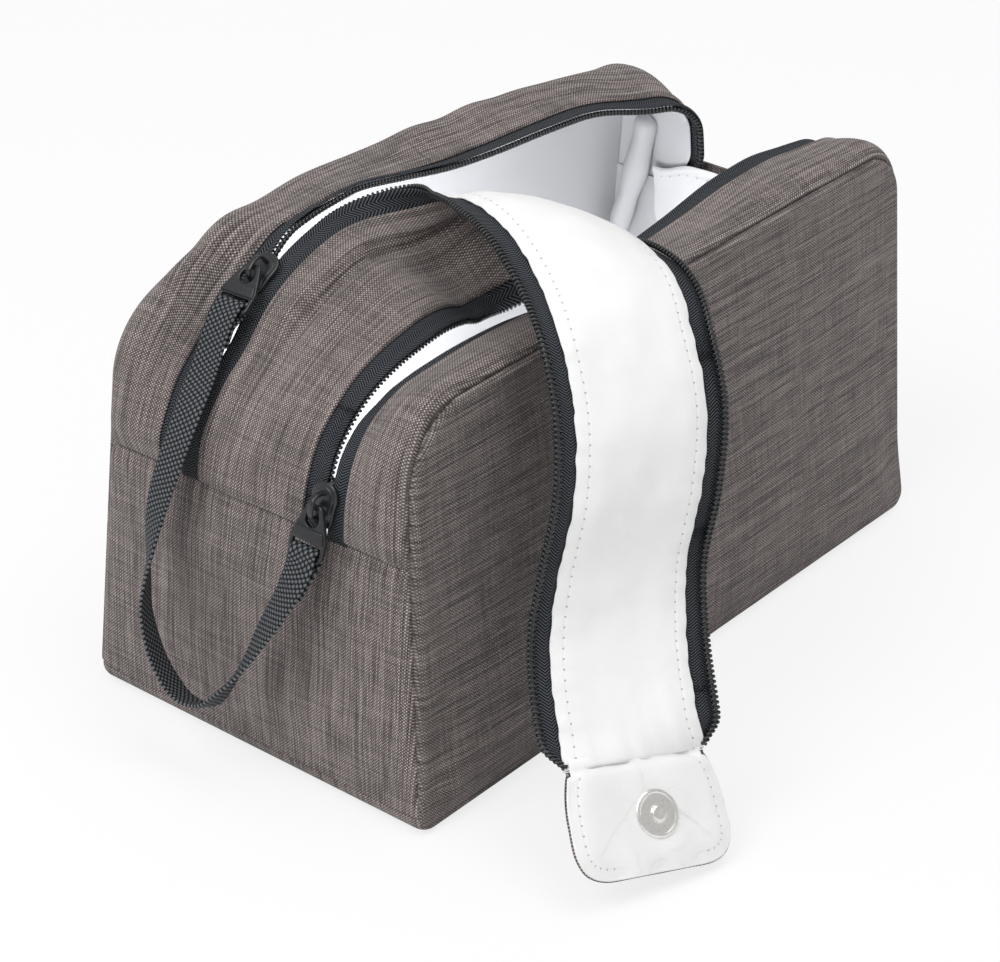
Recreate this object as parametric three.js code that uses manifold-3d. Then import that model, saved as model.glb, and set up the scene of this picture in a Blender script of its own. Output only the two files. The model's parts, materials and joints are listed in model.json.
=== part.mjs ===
// Toiletry bag: a soft box with two zips that run side by side over its near end, top and far end.
// The strip between the zips is sewn in at the near end and stands opened as a flap over the front.
// Millimetres, +Z up. The near end is at -X, the front side at -Y, and the base rests on Z = 0.

import * as THREE from 'three';
import Module from 'manifold-3d';

const wasm = await Module();
wasm.setup();

// Overall sizes of the box
const nearReach = 128;
const farReach = 124.5;
const bagHeight = 134;
const baseWidth = 138;
const sideLean = 10;
const nearLean = 8;
const farLean = 1;
const baseRadius = 9;
const nearTopRadius = 28;
const farTopRadius = 17;
const seamDrop = 21.7;
const tongueHeight = 104;

// Cloth, foam and board, from outside in
const fabric = 1.0;
const foam = 3.0;
const board = 2.0;
const lining = 0.6;
const seat = 0.3;
const seamGap = 0.8;
const overrun = 1.5;
const foamDrop = 4.0;
const liningDrop = 5.0;

// Zips: the edges of their tapes, measured from the middle of the bag
const ribbonWidth = 56;
const chainGap = 2.2;
const tapeWidth = 7.0;
const tapeThickness = 0.6;
const coilRadius = 1.15;
const coilWaistShare = 0.68;
const coilStep = 3.0;
const coilSides = 5;
const coilEdgeInset = 0.65;
const coilTrim = 1.5;
const coilSeat = 0.45;
const stopLength = 4.0;
const stopHeight = 1.8;
const stopThickness = 1.2;

// Tab and snap
const tabLength = 32;
const tabRootWidth = 47;
const tabWidth = 54;
const tabTipWidth = 30;
const tabGap = 0.9;
const snapRadius = 7.0;
const snapThickness = 1.4;
const snapPostRadius = 2.0;
const snapWasherRadius = 8.0;
const snapWasher = 0.5;
const snapDown = 15;
const snapAcross = -2.4;
const studRadius = 2.6;
const studTipRadius = 2.1;
const studHeight = 1.1;
const postClearance = 0.4;
const socketHeight = 62;
const socketWallRadius = 4.2;
const socketDepth = 0.9;

// Sliders and pulls
const backSliderPast = 2.3;
const frontSliderRun = 10.5;
const sliderLength = 14;
const sliderNoseWidth = 10;
const sliderTailWidth = 7.5;
const plate = 1.2;
const plateGap = 0.8;
const neckWidth = 0.9;
const neckLength = 1.6;
const bridgeSpan = 8.5;
const bridgeHeight = 5.4;
const bridgeBar = 1.1;
const bridgeWidth = 1.6;
const pullLength = 16;
const pullTopWidth = 6;
const pullWidth = 13;
const pullThickness = 1.5;
const pullShoulder = 10;
const pullHole = 2.6;
const pullSlotWidth = 10.6;
const pullSlot = 3.2;
const pullBar = 1.6;

// Webbing
const webbingWidth = 10;
const webbingThickness = 1.4;
const webbingLead = 6;

// Steps along curved pieces, and the distance at which two corners are one
const mergeStep = 0.0001;
const lineStep = 12;
const arcStep = Math.PI / 10;
const circleSides = 16;
const turnedSides = 24;

const fabricFinish = { color: 0x756a65, roughness: 0.92, metalness: 0 };
const tapeFinish = { color: 0x3a3c40, roughness: 0.85, metalness: 0 };
const coilFinish = { color: 0x17181a, roughness: 0.35, metalness: 0 };
const whiteFinish = { color: 0xf1f1f1, roughness: 0.8, metalness: 0 };
const greyFinish = { color: 0xc4c5c8, roughness: 0.7, metalness: 0 };
const foamFinish = { color: 0xd8d6d0, roughness: 0.95, metalness: 0 };
const boardFinish = { color: 0x4a4a4c, roughness: 0.8, metalness: 0 };
const blackMetalFinish = { color: 0x1c1d1f, roughness: 0.35, metalness: 0.8 };
const nickelFinish = { color: 0xc9c6c0, roughness: 0.25, metalness: 1 };

const bag = new THREE.Group();

function addPiece(name, geometry, finish) {
  const mesh = new THREE.Mesh(geometry, new THREE.MeshStandardMaterial(finish));
  mesh.name = name;
  bag.add(mesh);
}

// Six times the signed volume of a closed triangle mesh
function signedVolume(points, faces) {
  let sum = 0;
  for (const [a, b, c] of faces) {
    sum += points[a].dot(new THREE.Vector3().crossVectors(points[b], points[c]));
  }
  return sum;
}

// A closed mesh from points and triangles, turned so that its faces point out
function closedMesh(points, faces) {
  const centre = points.reduce((sum, p) => sum.add(p), new THREE.Vector3()).divideScalar(points.length);
  const local = points.map((p) => p.clone().sub(centre));
  const inward = signedVolume(local, faces) < 0;
  const index = faces.flatMap(([a, b, c]) => (inward ? [a, c, b] : [a, b, c]));
  const geometry = new THREE.BufferGeometry().setFromPoints(points);
  geometry.setIndex(index);
  return geometry;
}

// A loft through closed rings of equal count, with a flat fan over each end
function loft(rings) {
  const count = rings[0].length;
  const points = rings.flat();
  const faces = [];
  for (let r = 0; r + 1 < rings.length; r += 1) {
    for (let k = 0; k < count; k += 1) {
      const next = (k + 1) % count;
      const a = r * count + k;
      const b = r * count + next;
      faces.push([a, b, b + count], [a, b + count, a + count]);
    }
  }
  const last = (rings.length - 1) * count;
  for (let k = 1; k + 1 < count; k += 1) {
    faces.push([0, k + 1, k], [last, last + k, last + k + 1]);
  }
  return closedMesh(points, faces);
}

// The side outline, a rounded four-sided figure, as lines and arcs in the X-Z plane.
// It starts at the base end of the near bottom corner and runs up, over the top and back below.
function outlinePieces() {
  const corners = [
    { x: -nearReach, z: 0, r: baseRadius },
    { x: nearLean - nearReach, z: bagHeight, r: nearTopRadius },
    { x: farReach - farLean, z: bagHeight, r: farTopRadius },
    { x: farReach, z: 0, r: baseRadius },
  ].map((c) => ({ p: new THREE.Vector2(c.x, c.z), r: c.r }));
  const normals = corners.map((c, i) => {
    const d = corners[(i + 1) % corners.length].p.clone().sub(c.p).normalize();
    return new THREE.Vector2(-d.y, d.x);
  });
  const arcs = corners.map((c, i) => {
    const before = normals[(i + corners.length - 1) % corners.length];
    const after = normals[i];
    const offset = before.clone().add(after).multiplyScalar(c.r / (1 + before.dot(after)));
    const start = Math.atan2(before.y, before.x);
    const sweep = Math.acos(before.dot(after));
    return { kind: 'arc', centre: c.p.clone().sub(offset), r: c.r, start, sweep, length: c.r * sweep };
  });
  const pieces = [];
  arcs.forEach((arc, i) => {
    const next = arcs[(i + 1) % arcs.length];
    const n = normals[i];
    const from = arc.centre.clone().addScaledVector(n, arc.r);
    const to = next.centre.clone().addScaledVector(n, next.r);
    pieces.push(arc, { kind: 'line', from, to, n, length: from.distanceTo(to) });
  });
  let run = 0;
  for (const piece of pieces) {
    piece.run = run;
    run += piece.length;
  }
  return pieces;
}

const outline = outlinePieces();
const [nearBottomArc, nearLine] = outline;
const [topLine, , farLine, farBottomArc, baseLine] = outline.slice(3);

// The height of the seams at both ends, below where the near end starts to turn over the top
const seamHeight = nearLine.to.y - seamDrop;

// The outline's point and outward normal after a given run along it
function outlineAt(run) {
  const piece = outline.findLast((p) => run >= p.run) ?? outline[0];
  const along = run - piece.run;
  if (piece.kind === 'line') {
    const p = piece.from.clone().lerp(piece.to, along / piece.length);
    return { x: p.x, z: p.y, nx: piece.n.x, nz: piece.n.y };
  }
  const angle = piece.start - along / piece.r;
  const nx = Math.cos(angle);
  const nz = Math.sin(angle);
  return { x: piece.centre.x + piece.r * nx, z: piece.centre.y + piece.r * nz, nx, nz };
}

// The runs between two places on the outline, with every end of a line or arc kept
function stations(from, to) {
  const marks = outline.map((p) => p.run).filter((run) => run > from && run < to);
  const stops = [from, ...marks, to];
  const runs = [from];
  for (let i = 0; i + 1 < stops.length; i += 1) {
    const span = stops[i + 1] - stops[i];
    const middle = (stops[i] + stops[i + 1]) / 2;
    const piece = outline.findLast((p) => middle >= p.run);
    const step = piece.kind === 'arc' ? piece.r * arcStep : lineStep;
    const count = Math.max(1, Math.ceil(span / step));
    for (let k = 1; k <= count; k += 1) {
      runs.push(stops[i] + (span * k) / count);
    }
  }
  return runs;
}

// Half of the bag's outside width at a height
function halfWidth(z) {
  return baseWidth / 2 - (sideLean * z) / bagHeight;
}

function onOutline(run, depth, y) {
  const o = outlineAt(run);
  return new THREE.Vector3(o.x - depth * o.nx, y, o.z - depth * o.nz);
}

// The run on the near or far line at a height
function nearRun(z) {
  return nearLine.run + nearLine.length * ((z - nearLine.from.y) / (nearLine.to.y - nearLine.from.y));
}

function farRun(z) {
  return farLine.run + farLine.length * ((z - farLine.from.y) / (farLine.to.y - farLine.from.y));
}

// A band of cloth round part of the outline, as wide as the bag less a margin at each side
function band(runs, depth, thickness, marginAt) {
  const rings = runs.map((run) => {
    const z = outlineAt(run).z;
    const y = marginAt(z, run);
    return [
      onOutline(run, depth, -y),
      onOutline(run, depth, y),
      onOutline(run, depth + thickness, y),
      onOutline(run, depth + thickness, -y),
    ];
  });
  return loft(rings);
}

// A flat sheet parallel to a leaning side, with the outline drawn in by an inset
function sideSheet(side, inset, depth, thickness) {
  const runs = [];
  for (const piece of outline) {
    const count = piece.kind === 'arc' ? Math.ceil(piece.sweep / arcStep) : 1;
    for (let k = 0; k < count; k += 1) {
      runs.push(piece.run + (piece.length * k) / count);
    }
  }
  const flat = runs.map((run) => {
    const p = onOutline(run, inset, 0);
    return new THREE.Vector2(p.x, p.z);
  });
  const layer = (d) => flat.map((p) => new THREE.Vector3(p.x, side * (halfWidth(p.y) - d), p.y));
  const points = [...layer(depth), ...layer(depth + thickness)];
  const count = flat.length;
  const faces = [];
  for (const [a, b, c] of THREE.ShapeUtils.triangulateShape(flat, [])) {
    faces.push([a, b, c], [a + count, c + count, b + count]);
  }
  const clockwise = THREE.ShapeUtils.isClockWise(flat);
  for (let k = 0; k < count; k += 1) {
    const next = (k + 1) % count;
    const quad = [[k, k + count, next + count], [k, next + count, next]];
    faces.push(...(clockwise ? quad.map(([a, b, c]) => [a, c, b]) : quad));
  }
  return closedMesh(points, faces);
}

// Depths of the layers behind a side and behind the ends
const foamDepth = fabric + seat;
const sideLiningDepth = foamDepth + foam + seat;
const bandMargin = (z) => halfWidth(z) - fabric - seat;
const innerMargin = (z) => halfWidth(z) - sideLiningDepth - lining - seat;

for (const [name, side] of [['front', -1], ['back', 1]]) {
  addPiece(`${name}_panel`, sideSheet(side, 0, 0, fabric), fabricFinish);
  addPiece(`${name}_foam`, sideSheet(side, foamDrop, foamDepth, foam), foamFinish);
  addPiece(`${name}_lining`, sideSheet(side, liningDrop, sideLiningDepth, lining), greyFinish);
}

// Ends and base
const nearEndRuns = stations(nearLine.run + seat, nearRun(seamHeight));
const farEndRuns = [
  ...stations(farRun(tongueHeight), farRun(seamHeight) - seat),
  ...stations(farRun(seamHeight), farBottomArc.run - seat),
];
const tongueHalf = ribbonWidth / 2 - tapeWidth / 2;
const farMargin = (margin) => (z, run) => (run < farRun(seamHeight) - seat / 2 ? tongueHalf : margin(z));
const baseTurn = farBottomArc.run + farBottomArc.length + baseLine.length;

addPiece('near_end_panel', band(nearEndRuns, 0, fabric, bandMargin), fabricFinish);

// A round hole bored along X through a piece of the far end
function boredAlongX(geometry, x, z, radius, depth) {
  const tool = new THREE.CylinderGeometry(radius, radius, depth, circleSides);
  tool.rotateZ(Math.PI / 2);
  tool.translate(x, 0, z);
  return subtract(geometry, tool);
}

// A solid from a geometry, with corners at one place made one
function toSolid(geometry) {
  const position = geometry.getAttribute('position');
  const keys = new Map();
  const vertices = [];
  const lookup = [];
  for (let i = 0; i < position.count; i += 1) {
    const xyz = [position.getX(i), position.getY(i), position.getZ(i)];
    const key = xyz.map((v) => Math.round(v / mergeStep)).join(' ');
    if (!keys.has(key)) {
      keys.set(key, vertices.length / 3);
      vertices.push(...xyz);
    }
    lookup.push(keys.get(key));
  }
  const order = geometry.index ? Array.from(geometry.index.array) : lookup.map((_, i) => i);
  const triangles = [];
  for (let i = 0; i < order.length; i += 3) {
    const [a, b, c] = [lookup[order[i]], lookup[order[i + 1]], lookup[order[i + 2]]];
    if (a !== b && b !== c && c !== a) {
      triangles.push(a, b, c);
    }
  }
  return new wasm.Manifold(new wasm.Mesh({
    numProp: 3,
    vertProperties: new Float32Array(vertices),
    triVerts: new Uint32Array(triangles),
  }));
}

function toGeometry(solid) {
  const mesh = solid.getMesh();
  const geometry = new THREE.BufferGeometry();
  geometry.setAttribute('position', new THREE.BufferAttribute(new Float32Array(mesh.vertProperties), 3));
  geometry.setIndex(new THREE.BufferAttribute(new Uint32Array(mesh.triVerts), 1));
  return geometry;
}

function subtract(geometry, tool) {
  return toGeometry(toSolid(geometry).subtract(toSolid(tool)));
}

function join(...geometries) {
  return toGeometry(geometries.map(toSolid).reduce((sum, solid) => sum.add(solid)));
}

const farEndX = outlineAt(farRun(socketHeight)).x;
const farPanel = band(farEndRuns, 0, fabric, farMargin(bandMargin));
const postHole = snapPostRadius + postClearance;
const farPanelBored = boredAlongX(farPanel, farEndX, socketHeight, postHole, fabric + 2 * overrun);
addPiece('far_end_panel', farPanelBored, fabricFinish);

const baseRuns = [
  ...stations(farBottomArc.run, baseTurn),
  ...stations(nearBottomArc.run, nearLine.run).slice(1),
];
addPiece('base_panel', band(baseRuns, 0, fabric, bandMargin), fabricFinish);
const flatBaseRuns = stations(baseLine.run, baseTurn);
const boardMargin = (z) => bandMargin(z) - seat;
addPiece('base_board', band(flatBaseRuns, fabric + seat, board, boardMargin), boardFinish);
const baseLiningDepth = fabric + seat + board + seat;
addPiece('base_lining', band(flatBaseRuns, baseLiningDepth, lining, innerMargin), greyFinish);

const endLiningDepth = fabric + seat;
addPiece('near_end_lining', band(nearEndRuns, endLiningDepth, lining, innerMargin), greyFinish);
const washerRoom = snapWasher + 2 * seat;
const farLiningDepth = fabric + washerRoom;
const farLiningBand = band(farEndRuns, farLiningDepth, lining, farMargin(innerMargin));
addPiece('far_end_lining', farLiningBand, greyFinish);

// Places along the top are shares of the run from the near seam, over the top, to the far seam
const topStart = nearRun(seamHeight) + seat;
const topEnd = farRun(seamHeight) - seat;
const stripRuns = stations(topStart, topEnd);

// How far the free edge of each top strip stands proud of the outline, as shares of the height
const backLiftShares = [
  [0, 0], [0.03, 0], [0.092, -0.07], [0.163, -0.082], [0.217, -0.004], [0.24, 0.05], [0.265, 0.097],
  [0.294, 0.116], [0.34, 0.127], [0.37, 0.127], [0.43, 0.1], [0.5, 0.067], [0.57, 0.049],
  [0.65, 0.037], [0.73, 0.015], [0.813, -0.034], [0.88, -0.03], [0.95, 0], [1, 0],
];
const frontLiftShares = [
  [0, 0], [0.045, -0.015], [0.07, -0.034], [0.107, -0.062], [0.165, -0.088], [0.232, -0.07],
  [0.286, -0.063], [0.344, -0.067], [0.384, -0.078], [0.43, -0.095], [0.475, -0.085], [0.53, -0.048],
  [0.6, -0.028], [0.68, -0.022], [0.78, -0.022], [0.83, -0.015], [0.9, 0], [1, 0],
];

// A smooth value between the rows of a table, by a cubic through each pair of rows
function smoothShare(rows, share) {
  const last = rows.length - 1;
  const i = Math.min(last - 1, Math.max(0, rows.findLastIndex((row) => share >= row[0])));
  const slope = (k) => {
    const a = rows[Math.max(0, k - 1)];
    const b = rows[Math.min(last, k + 1)];
    return (b[1] - a[1]) / (b[0] - a[0]);
  };
  const width = rows[i + 1][0] - rows[i][0];
  const t = (share - rows[i][0]) / width;
  const t2 = t * t;
  const t3 = t2 * t;
  return (2 * t3 - 3 * t2 + 1) * rows[i][1] + (t3 - 2 * t2 + t) * width * slope(i)
    + (3 * t2 - 2 * t3) * rows[i + 1][1] + (t3 - t2) * width * slope(i + 1);
}

// A surface between two edges, with normals along both that point into the lining side. Straight
// across, or bowed to that side by a rise for each row.
function ruledSurface(edgeA, edgeB, inwardSign, rises = edgeA.map(() => 0)) {
  const edgeNormals = (edge) => edge.map((_, k) => {
    const before = Math.max(0, k - 1);
    const after = Math.min(edge.length - 1, k + 1);
    const along = edge[after].clone().sub(edge[before]);
    const across = edgeB[k].clone().sub(edgeA[k]);
    return new THREE.Vector3().crossVectors(along, across).normalize().multiplyScalar(inwardSign);
  });
  return { edgeA, edgeB, rises, normalsA: edgeNormals(edgeA), normalsB: edgeNormals(edgeB) };
}

// Places across a surface: a distance from its first edge or from its second
const fromA = (distance) => (s, k) => distance / s.edgeA[k].distanceTo(s.edgeB[k]);
const fromB = (distance) => (s, k) => 1 - distance / s.edgeA[k].distanceTo(s.edgeB[k]);

// The bow is a parabola, and the depth is taken square to it
function onSurface(s, k, place, depth) {
  const share = place(s, k);
  const chord = s.edgeB[k].clone().sub(s.edgeA[k]);
  const normal = s.normalsA[k].clone().lerp(s.normalsB[k], share).normalize();
  const bow = 4 * s.rises[k] * share * (1 - share);
  const slope = (4 * s.rises[k] * (1 - 2 * share)) / chord.lengthSq();
  const square = normal.clone().addScaledVector(chord, -slope).normalize();
  return s.edgeA[k].clone().addScaledVector(chord, share).addScaledVector(normal, bow)
    .addScaledVector(square, depth);
}

// A sheet between two grids of points that match, with the same diagonals in both of its faces
function gridSheet(outer, inner) {
  const rows = outer.length;
  const columns = outer[0].length;
  const points = [...outer.flat(), ...inner.flat()];
  const at = (face, r, c) => face * rows * columns + r * columns + c;
  const faces = [];
  for (let r = 0; r + 1 < rows; r += 1) {
    for (let c = 0; c + 1 < columns; c += 1) {
      const top = [at(0, r, c), at(0, r, c + 1), at(0, r + 1, c + 1), at(0, r + 1, c)];
      const low = [at(1, r, c), at(1, r, c + 1), at(1, r + 1, c + 1), at(1, r + 1, c)];
      faces.push([top[0], top[1], top[2]], [top[0], top[2], top[3]]);
      faces.push([low[0], low[2], low[1]], [low[0], low[3], low[2]]);
    }
  }
  const upTo = (count) => Array.from({ length: count - 1 }, (_, i) => i);
  const rim = [
    ...upTo(columns).map((c) => [0, c]),
    ...upTo(rows).map((r) => [r, columns - 1]),
    ...upTo(columns).map((c) => [rows - 1, columns - 1 - c]),
    ...upTo(rows).map((r) => [rows - 1 - r, 0]),
  ];
  rim.forEach(([r, c], k) => {
    const [r2, c2] = rim[(k + 1) % rim.length];
    faces.push([at(0, r, c), at(1, r2, c2), at(0, r2, c2)], [at(0, r, c), at(1, r, c), at(1, r2, c2)]);
  });
  return closedMesh(points, faces);
}

// A layer of cloth on a surface, through a list of places across it
function layer(s, places, depth, thickness) {
  const grid = (d) => s.edgeA.map((_, k) => places.map((at) => onSurface(s, k, at, d)));
  return gridSheet(grid(depth), grid(depth + thickness));
}

// The toothed coil of a zip along a surface: a rod whose radius swells at every second ring.
// It leaves a number of the surface's last rows free.
function coil(s, place, depth, rowsLeft = 0) {
  const points = [];
  for (let k = 0; k + rowsLeft < s.edgeA.length; k += 1) {
    points.push(onSurface(s, k, place, depth));
  }
  const curve = new THREE.CatmullRomCurve3(points, false, 'centripetal');
  const length = curve.getLength();
  const count = Math.max(4, Math.round(length / coilStep));
  const frames = curve.computeFrenetFrames(count, false);
  const rings = [];
  for (let i = 0; i <= count; i += 1) {
    const centre = curve.getPointAt((coilTrim + (length - 2 * coilTrim) * (i / count)) / length);
    const radius = i % 2 === 0 ? coilRadius : coilRadius * coilWaistShare;
    const ring = [];
    for (let k = 0; k < coilSides; k += 1) {
      const angle = (2 * Math.PI * k) / coilSides;
      ring.push(centre.clone()
        .addScaledVector(frames.normals[i], radius * Math.cos(angle))
        .addScaledVector(frames.binormals[i], radius * Math.sin(angle)));
    }
    rings.push(ring);
  }
  return loft(rings);
}

const coilDepth = tapeThickness + coilSeat + coilRadius;
const stopRows = 1;

const stripEdge = ribbonWidth / 2 + chainGap;

// The strips beside the zips, each with its tape, coil, lining and the stop at the zip's far end
function topStrip(name, side, liftShares) {
  const seamEdge = stripRuns.map((run) => {
    const z = outlineAt(run).z;
    return onOutline(run, 0, side * (halfWidth(z) - fabric - seamGap));
  });
  const zipEdge = stripRuns.map((run) => {
    const share = (run - topStart) / (topEnd - topStart);
    return onOutline(run, -bagHeight * smoothShare(liftShares, share), side * stripEdge);
  });
  const surface = ruledSurface(seamEdge, zipEdge, side);
  const border = tapeWidth + seat;
  const liningStart = sideLiningDepth + lining + seat;
  const inner = [fromA(liningStart), fromB(border)];
  addPiece(`${name}_strip`, layer(surface, [fromA(0), ...inner], 0, fabric), fabricFinish);
  addPiece(`${name}_strip_lining`, layer(surface, inner, fabric + seat, lining), greyFinish);
  const tape = layer(surface, [fromB(tapeWidth), fromB(0)], 0, tapeThickness);
  addPiece(`${name}_zip_tape`, tape, tapeFinish);
  const zipCoil = coil(surface, fromB(coilEdgeInset), coilDepth, stopRows);
  addPiece(`${name}_zip_coil`, zipCoil, coilFinish);
  return surface;
}

const frontSurface = topStrip('front', -1, frontLiftShares);
const backSurface = topStrip('back', 1, backLiftShares);

// The strip between the zips. Its root follows the outline: shares of the run along it, of the
// height that it stands proud and of the width, and the direction from its back to its front edge.
const bagLength = nearReach + farReach;
const rootShares = [
  [[0.0009, 0.0048, 0], [0, -1, 0]],
  [[0.0446, -0.0125, 0], [0, -1, 0]],
  [[0.0876, -0.0552, 0], [-0.08, -1, -0.01]],
  [[0.1553, -0.0735, 0], [-0.1, -0.99, 0]],
  [[0.2077, -0.027, 0], [-0.04, -0.99, -0.09]],
  [[0.2484, 0.0134, 0], [0, -0.98, -0.19]],
  [[0.2936, 0.037, 0], [0, -0.96, -0.28]],
  [[0.334, 0.043, -0.0065], [0.03, -0.91, -0.41]],
  [[0.3607, 0.0515, -0.039], [0.17, -0.77, -0.62]],
];

// Past the root the strip rises, turns over and comes down before the front. These rows are steps
// from the root's last place, as shares of length, width and height.
const turnedShares = [
  [[0.0238, -0.0514, 0.009], [0.45, -0.55, -0.7]],
  [[0.0384, -0.1196, 0.0388], [0.69, -0.4, -0.6]],
  [[0.0392, -0.2014, 0.0724], [0.83, -0.34, -0.44]],
  [[0.0281, -0.2928, 0.0903], [0.89, -0.34, -0.31]],
  [[0.0099, -0.3841, 0.0851], [0.91, -0.36, -0.22]],
  [[-0.0115, -0.4717, 0.0597], [0.91, -0.39, -0.15]],
  [[-0.042, -0.555, 0.0049], [0.91, -0.39, -0.13]],
  [[-0.0744, -0.6435, -0.1264], [0.897, -0.41, -0.157]],
  [[-0.1033, -0.6797, -0.2854], [0.908, -0.367, -0.2]],
  [[-0.1279, -0.6797, -0.4518], [0.904, -0.374, -0.207]],
  [[-0.1584, -0.7167, -0.6063], [0.855, -0.5, -0.128]],
  [[-0.1924, -0.7942, -0.7428], [0.862, -0.5, -0.09]],
  [[-0.2051, -0.8305, -0.8055], [0.92, -0.34, -0.19]],
];

// How far the strip bows across its width as it turns over, by row, as shares of the width
const bowShares = [
  [5, 0], [6, 0.01], [7, 0.075], [8, 0.155], [9, 0.19], [10, 0.175], [11, 0.14], [12, 0.1],
  [13, 0.065], [14, 0.03], [15, 0], [16, 0],
];
const bendRow = 14;
const rowSteps = 3;
const hingeGapShare = 0.03;
const squareShare = 0.5;
const middleShares = [0.3, 0.5, 0.7];

const rootPlaces = rootShares.map(([[run, lift, y]]) => (
  onOutline(topStart + run * (topEnd - topStart), -lift * bagHeight, y * baseWidth)));
const turnedPlaces = turnedShares.map(([[x, y, z]]) => (
  rootPlaces.at(-1).clone().add(new THREE.Vector3(x * bagLength, y * baseWidth, z * bagHeight))));
const ribbonPlaces = [...rootPlaces, ...turnedPlaces];
const ribbonAcross = [...rootShares, ...turnedShares].map(([, w]) => new THREE.Vector3(...w));
const middleCurve = new THREE.CatmullRomCurve3(ribbonPlaces, false, 'centripetal');
const acrossCurve = new THREE.CatmullRomCurve3(ribbonAcross);

// The ribbon's surface between two of its rows. Where it bows across, its edges draw together by
// what a shallow parabola takes up.
function ribbonSurface(fromRow, toRow) {
  const last = ribbonPlaces.length - 1;
  const count = Math.round((toRow - fromRow) * rowSteps);
  const edgeA = [];
  const edgeB = [];
  const rises = [];
  for (let k = 0; k <= count; k += 1) {
    const row = fromRow + ((toRow - fromRow) * k) / count;
    const t = row / last;
    const middle = middleCurve.getPoint(t);
    const along = middleCurve.getTangent(t);
    const across = acrossCurve.getPoint(t).normalize();
    across.addScaledVector(along, -squareShare * across.dot(along)).normalize();
    const bowed = row > bowShares[0][0] && row < bowShares.at(-1)[0];
    const rise = bowed ? ribbonWidth * smoothShare(bowShares, row) : 0;
    const half = ribbonWidth / 2 - (4 * rise * rise) / (3 * ribbonWidth);
    edgeA.push(middle.clone().addScaledVector(across, -half));
    edgeB.push(middle.clone().addScaledVector(across, half));
    rises.push(rise);
  }
  return ruledSurface(edgeA, edgeB, 1, rises);
}

// One stretch of the ribbon: shell, lining, and a tape and a coil along each edge
function ribbonStretch(name, s) {
  const border = tapeWidth + seat;
  const middle = [fromA(border), ...middleShares.map((share) => () => share), fromB(border)];
  const backTape = [fromA(0), fromA(tapeWidth)];
  const frontTape = [fromB(tapeWidth), fromB(0)];
  addPiece(`${name}_shell`, layer(s, middle, 0, fabric), fabricFinish);
  addPiece(`${name}_lining`, layer(s, middle, fabric + seat, lining), whiteFinish);
  addPiece(`${name}_back_tape`, layer(s, backTape, 0, tapeThickness), tapeFinish);
  addPiece(`${name}_front_tape`, layer(s, frontTape, 0, tapeThickness), tapeFinish);
  addPiece(`${name}_back_coil`, coil(s, fromA(coilEdgeInset), coilDepth), coilFinish);
  addPiece(`${name}_front_coil`, coil(s, fromB(coilEdgeInset), coilDepth), coilFinish);
}

const rootSurface = ribbonSurface(0, bendRow - hingeGapShare);
const flapSurface = ribbonSurface(bendRow + hingeGapShare, ribbonPlaces.length - 1);
ribbonStretch('flap_root', rootSurface);
ribbonStretch('flap', flapSurface);

// The tab lies in the plane of the flap's end. Its local axes run across, down and into the lining.
const flapLast = flapSurface.edgeA.length - 1;
const flapEnd = flapSurface.edgeB[flapLast].clone().sub(flapSurface.edgeA[flapLast]).normalize();
const flapMiddle = (k) => flapSurface.edgeA[k].clone().lerp(flapSurface.edgeB[k], 0.5);
const tabDown = flapMiddle(flapLast).sub(flapMiddle(flapLast - 1));
tabDown.addScaledVector(flapEnd, -tabDown.dot(flapEnd)).normalize();
const tabInward = new THREE.Vector3().crossVectors(tabDown, flapEnd);
tabInward.multiplyScalar(Math.sign(tabInward.dot(flapSurface.normalsA[flapLast]))).normalize();
const tabAcross = new THREE.Vector3().crossVectors(tabDown, tabInward).normalize();
const tabRoot = flapMiddle(flapLast).addScaledVector(tabDown, tabGap);

// Places a piece from the tab's own axes, at a distance down the tab, a depth and a distance across
function onTab(geometry, down, depth, across = 0) {
  const origin = tabRoot.clone().addScaledVector(tabAcross, across)
    .addScaledVector(tabDown, down).addScaledVector(tabInward, depth);
  const basis = new THREE.Matrix4().makeBasis(tabAcross, tabDown, tabInward).setPosition(origin);
  return geometry.applyMatrix4(basis);
}

// Adds a hole to a shape, wound against the shape's own outline
function addHole(shape, points) {
  const outer = THREE.ShapeUtils.isClockWise(shape.getPoints());
  const same = THREE.ShapeUtils.isClockWise(points) === outer;
  shape.holes.push(new THREE.Path(same ? points.reverse() : points));
}

// A round hole's outline as a polygon
function circlePoints(x, y, radius) {
  const points = [];
  for (let k = 0; k < circleSides; k += 1) {
    const angle = (2 * Math.PI * k) / circleSides;
    points.push(new THREE.Vector2(x + radius * Math.cos(angle), y + radius * Math.sin(angle)));
  }
  return points;
}

function tabShape(trim, holeRadius) {
  const root = tabRootWidth / 2 - trim;
  const wide = tabWidth / 2 - trim;
  const tip = tabTipWidth / 2;
  const end = tabLength - trim;
  const shape = new THREE.Shape();
  shape.moveTo(-root, 0);
  shape.bezierCurveTo(-wide, tabLength / 6, -wide, tabLength / 2, -wide, (2 * tabLength) / 3);
  shape.quadraticCurveTo(-wide, end, -tip, end);
  shape.lineTo(tip, end);
  shape.quadraticCurveTo(wide, end, wide, (2 * tabLength) / 3);
  shape.bezierCurveTo(wide, tabLength / 2, wide, tabLength / 6, root, 0);
  if (holeRadius > 0) {
    addHole(shape, circlePoints(snapAcross, snapDown, holeRadius));
  }
  return shape;
}

function tabSheet(trim, holeRadius, depth, thickness) {
  const options = { depth: thickness, bevelEnabled: false, curveSegments: 6 };
  return onTab(new THREE.ExtrudeGeometry(tabShape(trim, holeRadius), options), 0, depth);
}

// A disc with its axis along local Z, turned from a profile of [radius, height] points
function turned(profile) {
  const geometry = new THREE.LatheGeometry(profile.map(([r, h]) => new THREE.Vector2(r, h)), turnedSides);
  return geometry.rotateX(Math.PI / 2);
}

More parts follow.
